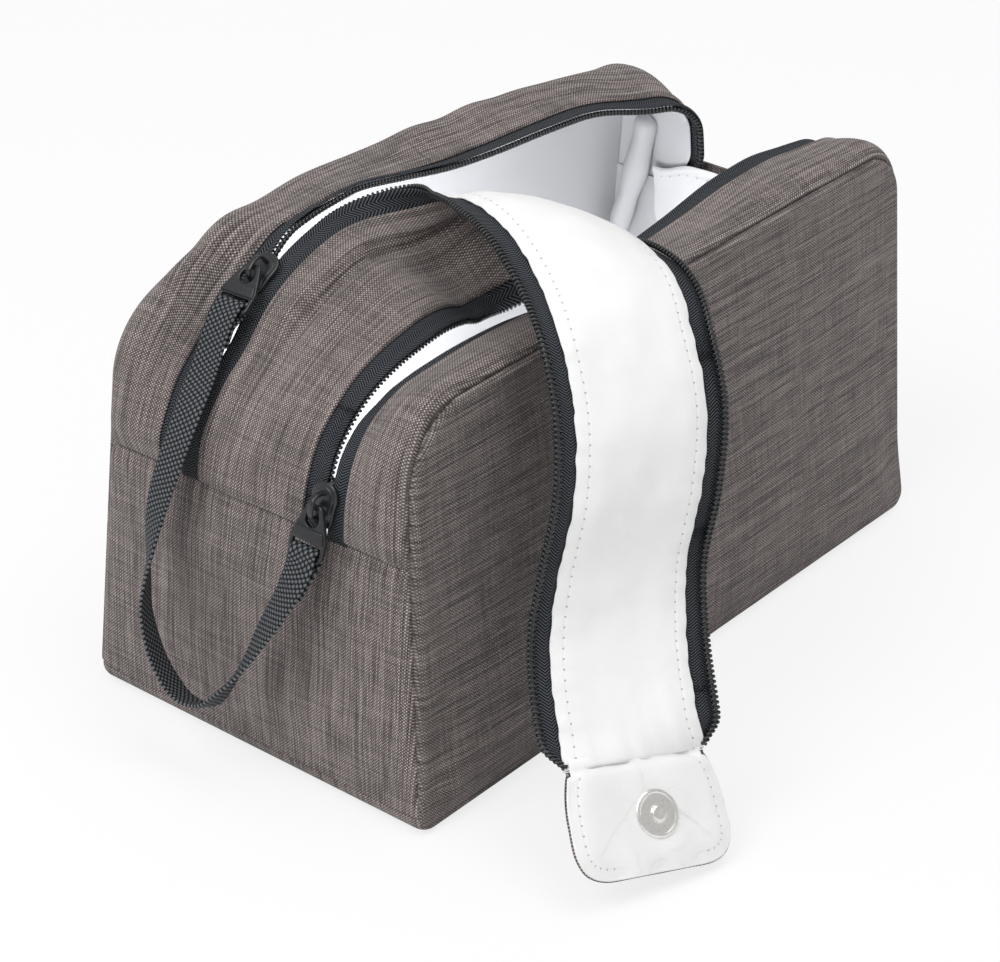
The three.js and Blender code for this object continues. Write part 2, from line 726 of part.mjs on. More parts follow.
const tabLiningDepth = fabric + washerRoom;
const studSeat = tabLiningDepth + lining + seat;
const postLength = studSeat - fabric - seat - snapWasher - seat;
addPiece('tab_shell', tabSheet(0, 0, 0, fabric), fabricFinish);
addPiece('tab_lining', tabSheet(seat, postHole, tabLiningDepth, lining), whiteFinish);
const washerProfile = [[0, 0], [snapWasherRadius, 0], [snapWasherRadius, snapWasher], [0, snapWasher]];
const studWasher = onTab(turned(washerProfile), snapDown, fabric + seat, snapAcross);
addPiece('snap_stud_washer', studWasher, nickelFinish);
const studProfile = [
  [0, -postLength], [snapPostRadius, -postLength], [snapPostRadius, 0], [snapRadius - seat, 0],
  [snapRadius, snapThickness / 2], [snapRadius - seat, snapThickness], [studRadius, snapThickness],
  [studTipRadius, snapThickness + studHeight], [0, snapThickness + studHeight],
];
addPiece('snap_stud', onTab(turned(studProfile), snapDown, studSeat, snapAcross), nickelFinish);

// The other half of the snap sits outside on the far end, its post through the panel to a washer
function onFarEnd(geometry, out) {
  const o = outlineAt(farRun(socketHeight));
  const outward = new THREE.Vector3(o.nx, 0, o.nz);
  const sideways = new THREE.Vector3(0, 1, 0);
  const upward = new THREE.Vector3().crossVectors(outward, sideways);
  const origin = new THREE.Vector3(o.x, 0, o.z).addScaledVector(outward, out);
  return geometry.applyMatrix4(new THREE.Matrix4().makeBasis(sideways, upward, outward).setPosition(origin));
}

const socketPost = fabric + seat;
const socketProfile = [
  [0, -socketPost], [snapPostRadius, -socketPost], [snapPostRadius, 0], [snapRadius - seat, 0],
  [snapRadius, snapThickness / 2], [snapRadius - seat, snapThickness], [socketWallRadius, snapThickness],
  [studRadius + seat, snapThickness], [studRadius + seat, snapThickness - socketDepth],
  [0, snapThickness - socketDepth],
];
addPiece('snap_socket', onFarEnd(turned(socketProfile), seat), nickelFinish);
const socketWasher = onFarEnd(turned(washerProfile), -fabric - seat - snapWasher);
addPiece('snap_socket_washer', socketWasher, nickelFinish);

// Stops that close the lower ends of the two zips at the far end
function zipStop(name, s) {
  const k = s.edgeA.length - 1;
  const along = s.edgeB[k].clone().sub(s.edgeB[k - 1]).normalize();
  const across = s.edgeB[k].clone().sub(s.edgeA[k]).normalize();
  const inward = s.normalsB[k];
  const box = new THREE.BoxGeometry(stopLength, stopHeight, stopThickness);
  const origin = onSurface(s, k, fromB(stopLength / 2), tapeThickness + seat + stopThickness / 2)
    .addScaledVector(along, -stopHeight);
  const sideways = new THREE.Vector3().crossVectors(inward, across).normalize();
  box.applyMatrix4(new THREE.Matrix4().makeBasis(across, sideways, inward).setPosition(origin));
  addPiece(name, box, blackMetalFinish);
}

zipStop('front_zip_stop', frontSurface);
zipStop('back_zip_stop', backSurface);

// One plate of a slider, narrow at its tail. Local X runs towards the nose and local Z outwards.
function sliderPlate(z) {
  const half = sliderLength / 2;
  const shape = new THREE.Shape();
  shape.moveTo(-half, -sliderTailWidth / 2);
  shape.lineTo(0, -sliderTailWidth / 2);
  shape.quadraticCurveTo(half / 2, -sliderNoseWidth / 2, half, -sliderNoseWidth / 4);
  shape.lineTo(half, sliderNoseWidth / 4);
  shape.quadraticCurveTo(half / 2, sliderNoseWidth / 2, 0, sliderTailWidth / 2);
  shape.lineTo(-half, sliderTailWidth / 2);
  const geometry = new THREE.ExtrudeGeometry(shape, { depth: plate, bevelEnabled: false, curveSegments: 5 });
  return geometry.translate(0, 0, z);
}

const chainDepth = coilDepth + coilRadius;

function sliderBody() {
  const top = sliderPlate(plateGap);
  const bottomZ = -chainDepth - plateGap - plate;
  const bottom = sliderPlate(bottomZ);
  const neckHeight = plateGap - bottomZ;
  const neck = new THREE.BoxGeometry(neckLength, neckWidth, neckHeight);
  neck.translate(sliderLength / 2 - neckLength, 0, bottomZ + (plate + neckHeight) / 2);
  return join(top, bottom, neck);
}

// The arch over the slider that carries the pull
function sliderBridge() {
  const half = bridgeSpan / 2;
  const inner = half - bridgeBar;
  const rise = bridgeHeight - bridgeBar;
  const shape = new THREE.Shape();
  shape.moveTo(-half, 0);
  shape.bezierCurveTo(-half, bridgeHeight, -half / 2, bridgeHeight, 0, bridgeHeight);
  shape.bezierCurveTo(half / 2, bridgeHeight, half, bridgeHeight, half, 0);
  shape.lineTo(inner, 0);
  shape.bezierCurveTo(inner, rise, inner / 2, rise, 0, rise);
  shape.bezierCurveTo(-inner / 2, rise, -inner, rise, -inner, 0);
  const options = { depth: bridgeWidth, bevelEnabled: false, curveSegments: 4 };
  const geometry = new THREE.ExtrudeGeometry(shape, options);
  geometry.translate(0, 0, -bridgeWidth / 2);
  geometry.rotateX(Math.PI / 2);
  return geometry.translate(0, 0, plateGap + plate + seat);
}

// A pull: a plate with a hole for the bridge near its top and a slot for the webbing at its foot.
// Local Y runs from the top to the foot.
function pullPlate() {
  const shape = new THREE.Shape();
  shape.moveTo(-pullTopWidth / 2, 0);
  shape.lineTo(-pullWidth / 2, pullShoulder);
  shape.lineTo(-pullWidth / 2, pullLength);
  shape.lineTo(pullWidth / 2, pullLength);
  shape.lineTo(pullWidth / 2, pullShoulder);
  shape.lineTo(pullTopWidth / 2, 0);
  const slotTop = pullLength - pullBar - pullSlot;
  const slotEnd = slotTop + pullSlot;
  addHole(shape, circlePoints(0, pullHole + pullBar, pullHole));
  addHole(shape, [[-1, slotTop], [-1, slotEnd], [1, slotEnd], [1, slotTop]].map(
    ([side, y]) => new THREE.Vector2((side * pullSlotWidth) / 2, y)));
  const options = { depth: pullThickness, bevelEnabled: false, curveSegments: 8 };
  return new THREE.ExtrudeGeometry(shape, options).translate(0, 0, -pullThickness / 2);
}

// Places a piece by three axes and an origin
function place(geometry, x, y, z, origin) {
  return geometry.applyMatrix4(new THREE.Matrix4().makeBasis(x, y, z).setPosition(origin));
}

// A curve along the middle of a chain, halfway between a strip's zip edge and the ribbon's edge
function chainCurve(stripSurface, ribbonEdge) {
  const strip = new THREE.CatmullRomCurve3(stripSurface.edgeB, false, 'centripetal');
  const ribbon = new THREE.CatmullRomCurve3(ribbonEdge, false, 'centripetal');
  return (distance) => {
    const a = strip.getPointAt(distance / strip.getLength());
    const b = ribbon.getPointAt(distance / ribbon.getLength());
    return a.lerp(b, 0.5);
  };
}

// The two sliders: how far each stands up its chain from the near seam, and how its pull hangs
const sliders = {
  back: {
    chain: chainCurve(backSurface, rootSurface.edgeA),
    distance: topLine.run - topStart + backSliderPast,
    pullDown: [-0.77, -0.03, -0.64],
  },
  front: {
    chain: chainCurve(frontSurface, rootSurface.edgeB),
    distance: frontSliderRun,
    pullDown: [-0.33, 0.02, -0.944],
  },
};
const pullRestShare = 0.68;

for (const [name, spec] of Object.entries(sliders)) {
  const tail = spec.chain(spec.distance - sliderLength / 2);
  const tip = spec.chain(spec.distance + sliderLength / 2);
  const nose = tip.clone().sub(tail).setY(0).normalize();
  const sideways = new THREE.Vector3(0, 1, 0);
  const outward = new THREE.Vector3().crossVectors(nose, sideways).normalize();
  const origin = tail.clone().lerp(tip, 0.5);
  const frame = (geometry) => place(geometry, nose, sideways, outward, origin);
  addPiece(`${name}_slider_body`, frame(sliderBody()), blackMetalFinish);
  addPiece(`${name}_slider_bridge`, frame(sliderBridge()), blackMetalFinish);
  const down = new THREE.Vector3(...spec.pullDown).normalize();
  const face = new THREE.Vector3().crossVectors(down, sideways).normalize();
  const across = new THREE.Vector3().crossVectors(down, face).normalize();
  const rise = plateGap + plate + seat + pullRestShare * (bridgeHeight - bridgeBar);
  const pivot = origin.clone().addScaledVector(nose, (bridgeBar - bridgeSpan) / 2)
    .addScaledVector(outward, rise);
  const top = pivot.clone().addScaledVector(down, -pullHole - pullBar);
  addPiece(`${name}_pull`, place(pullPlate(), across, down, face, top), blackMetalFinish);
  const slotMiddle = pullLength - pullBar - pullSlot / 2;
  const onFace = pullThickness / 2 + seat + webbingThickness / 2;
  const sign = Math.sign(face.dot(outward));
  spec.webbingAt = (d) => top.clone().addScaledVector(down, slotMiddle + d)
    .addScaledVector(face, sign * onFace);
  spec.pivot = pivot;
}

// The webbing loop: its middle line as shares of height from the near end, of width and of height,
// and the direction across it. It leaves the back pull, hangs before the near end and rises to the front pull.
const webbingShares = [
  [[0.1216, 0.1978, 0.8821], [0, -1, 0]],
  [[0.0381, 0.1725, 0.8142], [0, -1, 0]],
  [[-0.0201, 0.1775, 0.709], [-0.05, -1, 0.05]],
  [[-0.0516, 0.1935, 0.6075], [-0.2, -0.95, 0.1]],
  [[-0.0761, 0.1971, 0.5149], [-0.45, -0.8, 0.35]],
  [[-0.0904, 0.1978, 0.4433], [-0.66, -0.55, 0.5]],
  [[-0.106, 0.192, 0.3537], [-0.8, -0.35, 0.5]],
  [[-0.1141, 0.1493, 0.2433], [-0.88, -0.15, 0.45]],
  [[-0.1164, 0.0812, 0.1828], [-0.9, 0, 0.42]],
  [[-0.1134, 0.0167, 0.1881], [-0.9, 0, 0.4]],
  [[-0.1083, -0.0384, 0.25], [-0.88, -0.2, 0.25]],
  [[-0.0962, -0.0848, 0.3269], [-0.8, -0.5, 0]],
  [[-0.0783, -0.1348, 0.4276], [-0.6, -0.75, -0.2]],
  [[-0.0589, -0.1841, 0.5284], [-0.35, -0.9, -0.2]],
];
const webbingSteps = 52;

function webbingBand() {
  const level = new THREE.Vector3(0, -1, 0);
  const middle = webbingShares.map(([[x, y, z]]) => (
    new THREE.Vector3(x * bagHeight - nearReach, y * baseWidth, z * bagHeight)));
  const points = [
    sliders.back.webbingAt(0), sliders.back.webbingAt(webbingLead), ...middle,
    sliders.front.webbingAt(webbingLead), sliders.front.webbingAt(0),
  ];
  const acrossRows = webbingShares.map(([, w]) => new THREE.Vector3(...w));
  const acrosses = [level, level, ...acrossRows, level, level];
  const path = new THREE.CatmullRomCurve3(points, false, 'centripetal');
  const widths = new THREE.CatmullRomCurve3(acrosses.map((w) => w.clone()));
  const grids = [[], []];
  for (let k = 0; k <= webbingSteps; k += 1) {
    const t = path.getUtoTmapping(k / webbingSteps);
    const along = path.getTangent(t);
    const across = widths.getPoint(t);
    across.addScaledVector(along, -across.dot(along)).normalize();
    const normal = new THREE.Vector3().crossVectors(along, across);
    [1, -1].forEach((sign, i) => {
      const face = path.getPoint(t).addScaledVector(normal, (sign * webbingThickness) / 2);
      grids[i].push([-1, 1].map((s) => face.clone().addScaledVector(across, (s * webbingWidth) / 2)));
    });
  }
  return gridSheet(grids[0], grids[1]);
}

addPiece('handle_webbing', webbingBand(), tapeFinish);

export default bag;
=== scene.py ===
"""A toiletry bag with two zips over its top, its middle strip opened as a flap before the front.

Every surface is worked out on a grid in metres, in the frame's own axes: +X from the near end to
the far end, -Y out of the front side and +Z up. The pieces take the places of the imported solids.
"""

import json
import logging
import math
from dataclasses import dataclass
from enum import Enum
from typing import Any, Sequence

import bmesh
import bpy
import numpy as np
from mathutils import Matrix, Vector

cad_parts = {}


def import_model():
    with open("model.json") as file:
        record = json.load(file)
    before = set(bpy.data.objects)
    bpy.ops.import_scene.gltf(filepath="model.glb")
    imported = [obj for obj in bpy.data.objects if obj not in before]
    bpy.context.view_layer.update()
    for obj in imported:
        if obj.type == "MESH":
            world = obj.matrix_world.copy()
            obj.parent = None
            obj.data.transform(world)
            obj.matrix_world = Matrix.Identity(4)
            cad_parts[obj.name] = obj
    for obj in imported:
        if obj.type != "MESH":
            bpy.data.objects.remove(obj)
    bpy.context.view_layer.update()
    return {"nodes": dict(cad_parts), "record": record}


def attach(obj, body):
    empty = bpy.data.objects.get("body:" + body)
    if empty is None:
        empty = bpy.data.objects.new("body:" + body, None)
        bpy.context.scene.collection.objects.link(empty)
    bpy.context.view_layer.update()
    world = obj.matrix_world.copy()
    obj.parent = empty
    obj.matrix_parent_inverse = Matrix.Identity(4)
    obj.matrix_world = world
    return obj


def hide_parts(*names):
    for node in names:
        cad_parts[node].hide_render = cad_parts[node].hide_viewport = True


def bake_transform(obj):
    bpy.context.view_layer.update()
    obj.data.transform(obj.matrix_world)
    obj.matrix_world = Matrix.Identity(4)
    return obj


Array = np.ndarray
log = logging.getLogger("toiletry_bag")
MM = 0.001
CLOTH = 1.0 * MM
LINING = 0.6 * MM
SEAM_SINK = 2.8 * MM
SEAM_ROLL = 5.5 * MM


# Shader maths


@dataclass(frozen=True)
class Value:
    """A number in a material's nodes, on which the usual operators add Math nodes."""

    paint: "Paint"
    socket: Any

    def __add__(self, other: Any) -> "Value":
        """Sum of two values."""
        return self.paint.maths("ADD", self, other)

    def __sub__(self, other: Any) -> "Value":
        """Difference of two values."""
        return self.paint.maths("SUBTRACT", self, other)

    def __rsub__(self, other: Any) -> "Value":
        """Difference, with this value taken from a number."""
        return self.paint.maths("SUBTRACT", other, self)

    def __mul__(self, other: Any) -> "Value":
        """Product of two values."""
        return self.paint.maths("MULTIPLY", self, other)

    def __truediv__(self, other: Any) -> "Value":
        """Quotient of two values."""
        return self.paint.maths("DIVIDE", self, other)

    def __mod__(self, other: Any) -> "Value":
        """What is left after whole steps are taken out."""
        return self.paint.maths("FLOORED_MODULO", self, other)

    def clipped(self, low: float, high: float) -> "Value":
        """Nought below the low mark, one above the high mark, and smooth between them."""
        inputs = {"Value": self, "From Min": low, "From Max": high}
        node = self.paint.add("ShaderNodeMapRange", inputs, interpolation_type="SMOOTHSTEP")
        return Value(self.paint, node.outputs["Result"])


class Paint:
    """One material, or the world, and the nodes that make it."""

    def __init__(self, name: str, store: Any = None) -> None:
        """Starts an empty material, or another empty block when its store is given."""
        self.block = (bpy.data.materials if store is None else store).new(name)
        self.block.use_nodes = True
        self.tree = self.block.node_tree
        self.tree.nodes.clear()

    def add(self, kind: str, inputs: dict | None = None, **settings: Any) -> Any:
        """Adds any node, sets it and feeds its sockets.

        Args:
            kind: the node's type.
            inputs: values or links by socket name or number.
            settings: properties that are set first.

        Returns:
            The node.
        """
        node = self.tree.nodes.new(kind)
        for key, value in settings.items():
            setattr(node, key, value)
        for key, value in (inputs or {}).items():
            source = value.socket if isinstance(value, Value) else value
            if isinstance(source, bpy.types.NodeSocket):
                self.tree.links.new(source, node.inputs[key])
            else:
                node.inputs[key].default_value = source
        return node

    def maths(self, operation: str, *values: Any) -> Value:
        """A Math node on one or two values."""
        node = self.add("ShaderNodeMath", dict(enumerate(values)), operation=operation)
        return Value(self, node.outputs[0])

    def sine(self, value: Value) -> Value:
        """The sine of a value in radians."""
        return self.maths("SINE", value)

    def wave(self, value: Value, length: float) -> Value:
        """A wave of a given length that goes from nought to one and back."""
        return self.sine(value * (2 * math.pi / length)) * 0.5 + 0.5

    def floor(self, value: Value) -> Value:
        """The whole number at or below a value."""
        return self.maths("FLOOR", value)

    def place(self, kind: str) -> list:
        """The three coordinates of one kind, in metres."""
        source = self.add("ShaderNodeTexCoord").outputs[kind]
        parts = self.add("ShaderNodeSeparateXYZ", {0: source})
        return [Value(self, socket) for socket in parts.outputs]

    def noise(self, x: Any, y: Any, z: Any, detail: float = 2.0, rough: float = 0.5) -> Value:
        """Smooth noise round a half, at a place whose unit is one patch."""
        vector = self.add("ShaderNodeCombineXYZ", {0: x, 1: y, 2: z}).outputs[0]
        inputs = {"Vector": vector, "Scale": 1.0, "Detail": detail, "Roughness": rough}
        return Value(self, self.add("ShaderNodeTexNoise", inputs).outputs[0])

    def mottle(self, patch: float, detail: float = 2.0, rough: float = 0.5) -> Value:
        """Smooth noise through the piece, in patches of a size in metres."""
        return self.noise(*(at / patch for at in self.place("Object")), detail, rough)

    def mix(self, share: Any, first: Any, second: Any) -> Any:
        """A colour between two colours."""
        sides = {
            key: (*side, 1) if isinstance(side, tuple) else side
            for key, side in ((6, first), (7, second))
        }
        return self.add("ShaderNodeMix", {0: share, **sides}, data_type="RGBA").outputs[2]

    def bump(self, height: Value, distance: float) -> Any:
        """A normal from a height of nought to one over a distance in metres."""
        return self.add("ShaderNodeBump", {"Height": height, "Distance": distance}).outputs[0]

    def split(self, output: str, share: Any, light: Any, seen: Any) -> None:
        """Ends the nodes in one shader for light and another, by a share, for the eye."""
        shaders = {1: light.outputs[0], 2: seen.outputs[0]}
        self.add(output, {0: self.add("ShaderNodeMixShader", {0: share, **shaders}).outputs[0]})

    def finish(self, **inputs: Any) -> Any:
        """Ends the material in one Principled shader.

        Args:
            inputs: its sockets by name, with underscores for spaces.

        Returns:
            The material.
        """
        named = {key.replace("_", " "): value for key, value in inputs.items()}
        shader = self.add("ShaderNodeBsdfPrincipled", named)
        self.add("ShaderNodeOutputMaterial", {0: shader.outputs[0]})
        return self.block


# Finishes


@dataclass(frozen=True)
class MelangeCloth:
    """Plain weave of dark and pale mixed yarns, with long streaks along its weft.

    The surface coordinate u runs along the streaks and v across them.
    """

    name: str
    pitch: float = 0.52 * MM
    dark: tuple = (0.034, 0.029, 0.028)
    middle: tuple = (0.170, 0.144, 0.138)
    pale: tuple = (0.74, 0.63, 0.605)
    streak_length: float = 16 * MM
    streak_width: float = 0.55 * MM
    streak_depth: float = 1.0
    relief: float = 0.22 * MM

    def make(self) -> Any:
        """Builds and returns the material."""
        paint = Paint(self.name)
        u, v, _ = paint.place("UV")
        weft_wave = paint.sine(u * (math.pi / self.pitch))
        warp_wave = paint.sine(v * (math.pi / self.pitch))
        crossing = weft_wave * warp_wave
        warp_shows = crossing.clipped(0.05, 0.8)
        row = paint.floor(v / self.pitch)
        column = paint.floor(u / self.pitch)
        streak = paint.noise(u / self.streak_length, v / self.streak_width, 0.0, 3.0, 0.6)
        yarn = paint.noise(u / (4 * self.streak_length), row * 0.77, 3.1, 1.0)
        warp = paint.noise(v / self.streak_length, column * 0.83, 7.7, 1.0)
        cloud = paint.noise(u / (60 * MM), v / (40 * MM), 1.9, 2.0)
        melange = (streak * 0.55 + yarn * 0.35 + warp * 0.1).clipped(0.36, 0.66)
        weft_colour = paint.mix(melange * self.streak_depth, self.dark, self.middle)
        warp_colour = paint.mix((warp * 0.5 + melange * 0.5).clipped(0.1, 0.9), self.middle, self.pale)
        colour = paint.mix(warp_shows, weft_colour, warp_colour)
        tint = paint.mix((cloud * 0.5).clipped(0.15, 0.4), colour, self.middle)
        toned = paint.mix(0.12, colour, tint)
        height = crossing * 0.35 + streak * 0.5 + 0.2
        normal = paint.bump(height, self.relief)
        return paint.finish(
            Base_Color=toned, Roughness=0.88, Normal=normal, Sheen_Weight=0.12, Specular_IOR_Level=0.25
        )


@dataclass(frozen=True)
class HerringboneTape:
    """Woven zip tape in slanting rows that turn over at even stripes across it."""

    name: str = "zip_tape_herringbone"
    stripe: float = 2.6 * MM
    row: float = 0.9 * MM
    thread: float = 0.62 * MM
    slant: float = 0.75
    dark: tuple = (0.004, 0.0045, 0.0055)
    pale: tuple = (0.086, 0.095, 0.11)
    relief: float = 0.22 * MM

    def make(self) -> Any:
        """Builds and returns the material."""
        paint = Paint(self.name)
        u, v, _ = paint.place("UV")
        fold = paint.maths("PINGPONG", v, self.stripe)
        wave = paint.wave(u + fold * self.slant, self.row)
        thread = paint.wave(v, self.thread)
        fleck = paint.noise(u / (0.8 * MM), v / (0.35 * MM), 2.0)
        weave = (wave * 0.8 + thread * 0.1 + fleck * 0.3).clipped(0.38, 0.95)
        colour = paint.mix(weave, self.dark, self.pale)
        normal = paint.bump(weave, self.relief)
        return paint.finish(Base_Color=colour, Roughness=0.75, Normal=normal, Specular_IOR_Level=0.22)


@dataclass(frozen=True)
class RibbedWebbing:
    """Narrow webbing of plump warp ends that dive under a weft at every rib."""

    name: str = "ribbed_webbing"
    rib: float = 1.75 * MM
    end: float = 1.1 * MM
    dark: tuple = (0.003, 0.0035, 0.0045)
    pale: tuple = (0.14, 0.152, 0.166)
    relief: float = 0.5 * MM

    def make(self) -> Any:
        """Builds and returns the material."""
        paint = Paint(self.name)
        u, v, _ = paint.place("UV")
        shift = (paint.floor(v / self.end) % 2.0) * 0.5
        along = paint.wave(u / self.rib + shift, 1.0)
        across = paint.maths("ABSOLUTE", paint.sine(v * (math.pi / self.end)))
        fleck = paint.noise(u / (0.9 * MM), v / (0.3 * MM), 5.0)
        bead = along * 0.65 + across * 0.35
        weave = (bead * 0.85 + fleck * 0.35).clipped(0.45, 1.0)
        colour = paint.mix(weave, self.dark, self.pale)
        normal = paint.bump(bead, self.relief)
        return paint.finish(Base_Color=colour, Roughness=0.7, Normal=normal, Specular_IOR_Level=0.25)


@dataclass(frozen=True)
class SmoothLining:
    """Fine lining with small crinkles whose hollows are painted darker as shade, and needle holes along
    a sewn edge where it has them, each painted dark as the shade in a hole.

    The surface coordinate v counts from the edge where there are needle holes.
    """

    name: str
    colour: tuple = (0.74, 0.742, 0.75)
    # The shade colour is painted shade in the crinkles' hollows.
    shade: tuple = (0.67, 0.673, 0.685)
    twill: float = 0.45 * MM
    crinkle: float = 14 * MM
    relief: float = 0.5 * MM
    seam: float = 0.0
    needle_step: float = 3.0 * MM

    def make(self) -> Any:
        """Builds and returns the material."""
        paint = Paint(self.name)
        u, v, _ = paint.place("UV")
        rows = paint.wave(u + v, self.twill)
        fold = paint.mottle(self.crinkle, 3.0, 0.55)
        # The crinkles' hollows are painted toward the shade colour: painted shade that follows the
        # crinkles' bump.
        colour = paint.mix((rows * 0.25 + fold * 0.75).clipped(0.2, 0.8), self.shade, self.colour)
        height = fold * 0.9 + rows * 0.04
        if self.seam:
            along = (u % self.needle_step) - self.needle_step / 2
            across = v - self.seam
            away = paint.maths("SQRT", along * along + across * across)
            hole = 1.0 - away.clipped(0.15 * MM, 0.36 * MM)
            groove = 1.0 - paint.maths("ABSOLUTE", across).clipped(0.1 * MM, 0.6 * MM)
            # Each needle hole is a dimple painted dark grey: painted shade in the hole.
            colour = paint.mix(hole * 0.55, colour, (0.16, 0.16, 0.17))
            height = height - hole * 0.5 - groove * 0.18
        normal = paint.bump(height, self.relief)
        return paint.finish(Base_Color=colour, Roughness=0.62, Normal=normal, Specular_IOR_Level=0.35)


@dataclass(frozen=True)
class Speckled:
    """Nylon, metal, foam or board: a fine speck between a dark and a pale shade."""

    name: str
    dark: tuple
    pale: tuple
    patch: float
    detail: float = 2.0
    rough: float = 0.5
    metal: float = 0.0
    shine: float = 0.5
    gloss: tuple = (0.2, 0.2)
    lacquer: float = 0.0

    def make(self) -> Any:
        """Builds and returns the material, whose gloss is how rough it is and how much that varies."""
        paint = Paint(self.name)
        speck = paint.mottle(self.patch, self.detail, self.rough)
        inputs = {}
        if self.lacquer:
            bump = paint.bump(speck, 0.03 * MM)
            inputs = {"Normal": bump, "Coat_Weight": self.lacquer, "Coat_Roughness": 0.15}
        return paint.finish(
            Base_Color=paint.mix(speck, self.dark, self.pale), Metallic=self.metal,
            Roughness=speck * self.gloss[1] + self.gloss[0], Specular_IOR_Level=self.shine, **inputs,
        )


WHITE_SHADES = ((0.87, 0.87, 0.865), (0.81, 0.81, 0.81))
NEEDLE_SEAM = 3.4 * MM


class Finish(Enum):
    """The finishes of the bag's pieces."""

    # The sides' cloth is the ends' cloth with darker pale yarn: painted shade on the sides, which face
    # away from the lamps.
    SIDE_CLOTH = MelangeCloth("shaded_side_cloth", pale=(0.52, 0.45, 0.435))
    END_CLOTH = MelangeCloth("end_cloth")
    STRIP_CLOTH = MelangeCloth("strip_cloth", middle=(0.185, 0.157, 0.15), streak_depth=0.8)
    TAPE = HerringboneTape()
    WEBBING = RibbedWebbing()
    COIL = Speckled("nylon_coil", (0.006, 0.0065, 0.007), (0.03, 0.032, 0.035), 2 * MM, shine=0.6)
    GREY_LINING = SmoothLining("grey_lining")
    WHITE_LINING = SmoothLining("white_lining", *WHITE_SHADES, relief=0.35 * MM)
    STITCHED_LINING = SmoothLining(
        "stitched_white_lining", *WHITE_SHADES, relief=0.35 * MM, seam=NEEDLE_SEAM
    )
    HEMMED_LINING = SmoothLining("hemmed_grey_lining", seam=NEEDLE_SEAM, needle_step=4.0 * MM)
    METAL = Speckled(
        "black_lacquer", (0.012, 0.0125, 0.014), (0.035, 0.037, 0.041), 0.7 * MM, 3.0,
        metal=0.35, gloss=(0.2, 0.25), lacquer=0.35,
    )
    NICKEL = Speckled(
        "snap_nickel", (0.72, 0.705, 0.68), (0.93, 0.915, 0.89), 1.2 * MM, 4.0, 0.6,
        metal=1.0, gloss=(0.2, 0.22),
    )
    FOAM = Speckled("foam_sheet", (0.49, 0.483, 0.462), (0.70, 0.69, 0.66), 1.5 * MM, gloss=(0.85, 0.0))
    BOARD = Speckled(
        "base_stiffener", (0.042, 0.042, 0.0455), (0.06, 0.06, 0.065), 1.5 * MM, gloss=(0.85, 0.0)
    )

    def material(self) -> Any:
        """The finish's material, built at its first use."""
        return bpy.data.materials.get(self.value.name) or self.value.make()


# Curves and grids


def unit(vectors: Array) -> Array:
    """Vectors of length one, along the last axis."""
    length = np.linalg.norm(vectors, axis=-1, keepdims=True)
    return vectors / np.maximum(length, 1e-12)


def smooth_step(x: Array) -> Array:
    """Three x squared less two x cubed, between nought and one."""
    t = np.clip(x, 0, 1)
    return t * t * (3 - 2 * t)


def cubic(knots: Array, rows: Array, slopes: Array, at: Array) -> Array:
    """A smooth curve through rows, by a cubic between each pair that has the given slopes.

    Args:
        knots: the rows' places, rising.
        rows: one value or vector for each knot.
        slopes: how fast the rows change at each knot.
        at: where the curve is wanted.

    Returns:
        The curve's values there.
    """
    i = np.clip(np.searchsorted(knots, at, side="right") - 1, 0, len(knots) - 2)
    width = (knots[i + 1] - knots[i])[:, None]
    t = (at - knots[i])[:, None] / width
    first = (2 * t**3 - 3 * t**2 + 1) * rows[i] + (t**3 - 2 * t**2 + t) * width * slopes[i]
    return first + (3 * t**2 - 2 * t**3) * rows[i + 1] + (t**3 - t**2) * width * slopes[i + 1]


def table(shares: Sequence, at: Array) -> Array:
    """A smooth value between the rows of a table of pairs, with slopes that span each row."""
    rows = np.array(shares, float)
    before = np.maximum(np.arange(len(rows)) - 1, 0)
    after = np.minimum(np.arange(len(rows)) + 1, len(rows) - 1)
    rise = rows[after] - rows[before]
    return cubic(rows[:, 0], rows[:, 1:], rise[:, 1:] / rise[:, :1], at)[:, 0]


def curve(knots: Array, rows: Array, at: Array) -> Array:
    """A smooth curve through places, its slope at each weighed by how near its neighbours are."""
    step = np.diff(knots)[:, None]
    slant = np.diff(rows, axis=0) / step
    inner = (slant[:-1] * step[1:] + slant[1:] * step[:-1]) / (step[:-1] + step[1:])
    return cubic(knots, rows, np.concatenate([slant[:1], inner, slant[-1:]]), at)


def ribbon_line(places: Array, wide: Array, count: int) -> tuple[Array, Array, Array]:
    """A smooth line through places, with the directions across it.

    Args:
        places: the places it goes through.
        wide: a direction across it at each place.
        count: how many points are wanted.

    Returns:
        The line's points, the directions across and the places' own numbers along it.
    """
    gaps = np.sqrt(np.linalg.norm(np.diff(places, axis=0), axis=1))
    knots = np.concatenate([[0], np.cumsum(gaps)])
    fine = np.linspace(0, knots[-1], count)
    row = np.interp(fine, knots, np.arange(len(knots)))
    return curve(knots, places, fine), curve(np.arange(len(knots)), wide, row), row


def bell(x: Array, middle: float, width: float) -> Array:
    """A round hump of height one at a middle, that fades over a width."""
    return np.exp(-(((x - middle) / width) ** 2))


def lengths(points: Array) -> Array:
    """The distance from a path's start to each of its points."""
    steps = np.linalg.norm(np.diff(points, axis=0), axis=1)
    return np.concatenate([[0], np.cumsum(steps)])


def resample(points: Array, at: Array, values: Array | None = None) -> Array:
    """A path's places, or values kept along it, at distances from its start."""
    run = lengths(points)
    source = points if values is None else values
    return np.stack([np.interp(at, run, source[:, k]) for k in range(source.shape[1])], 1)


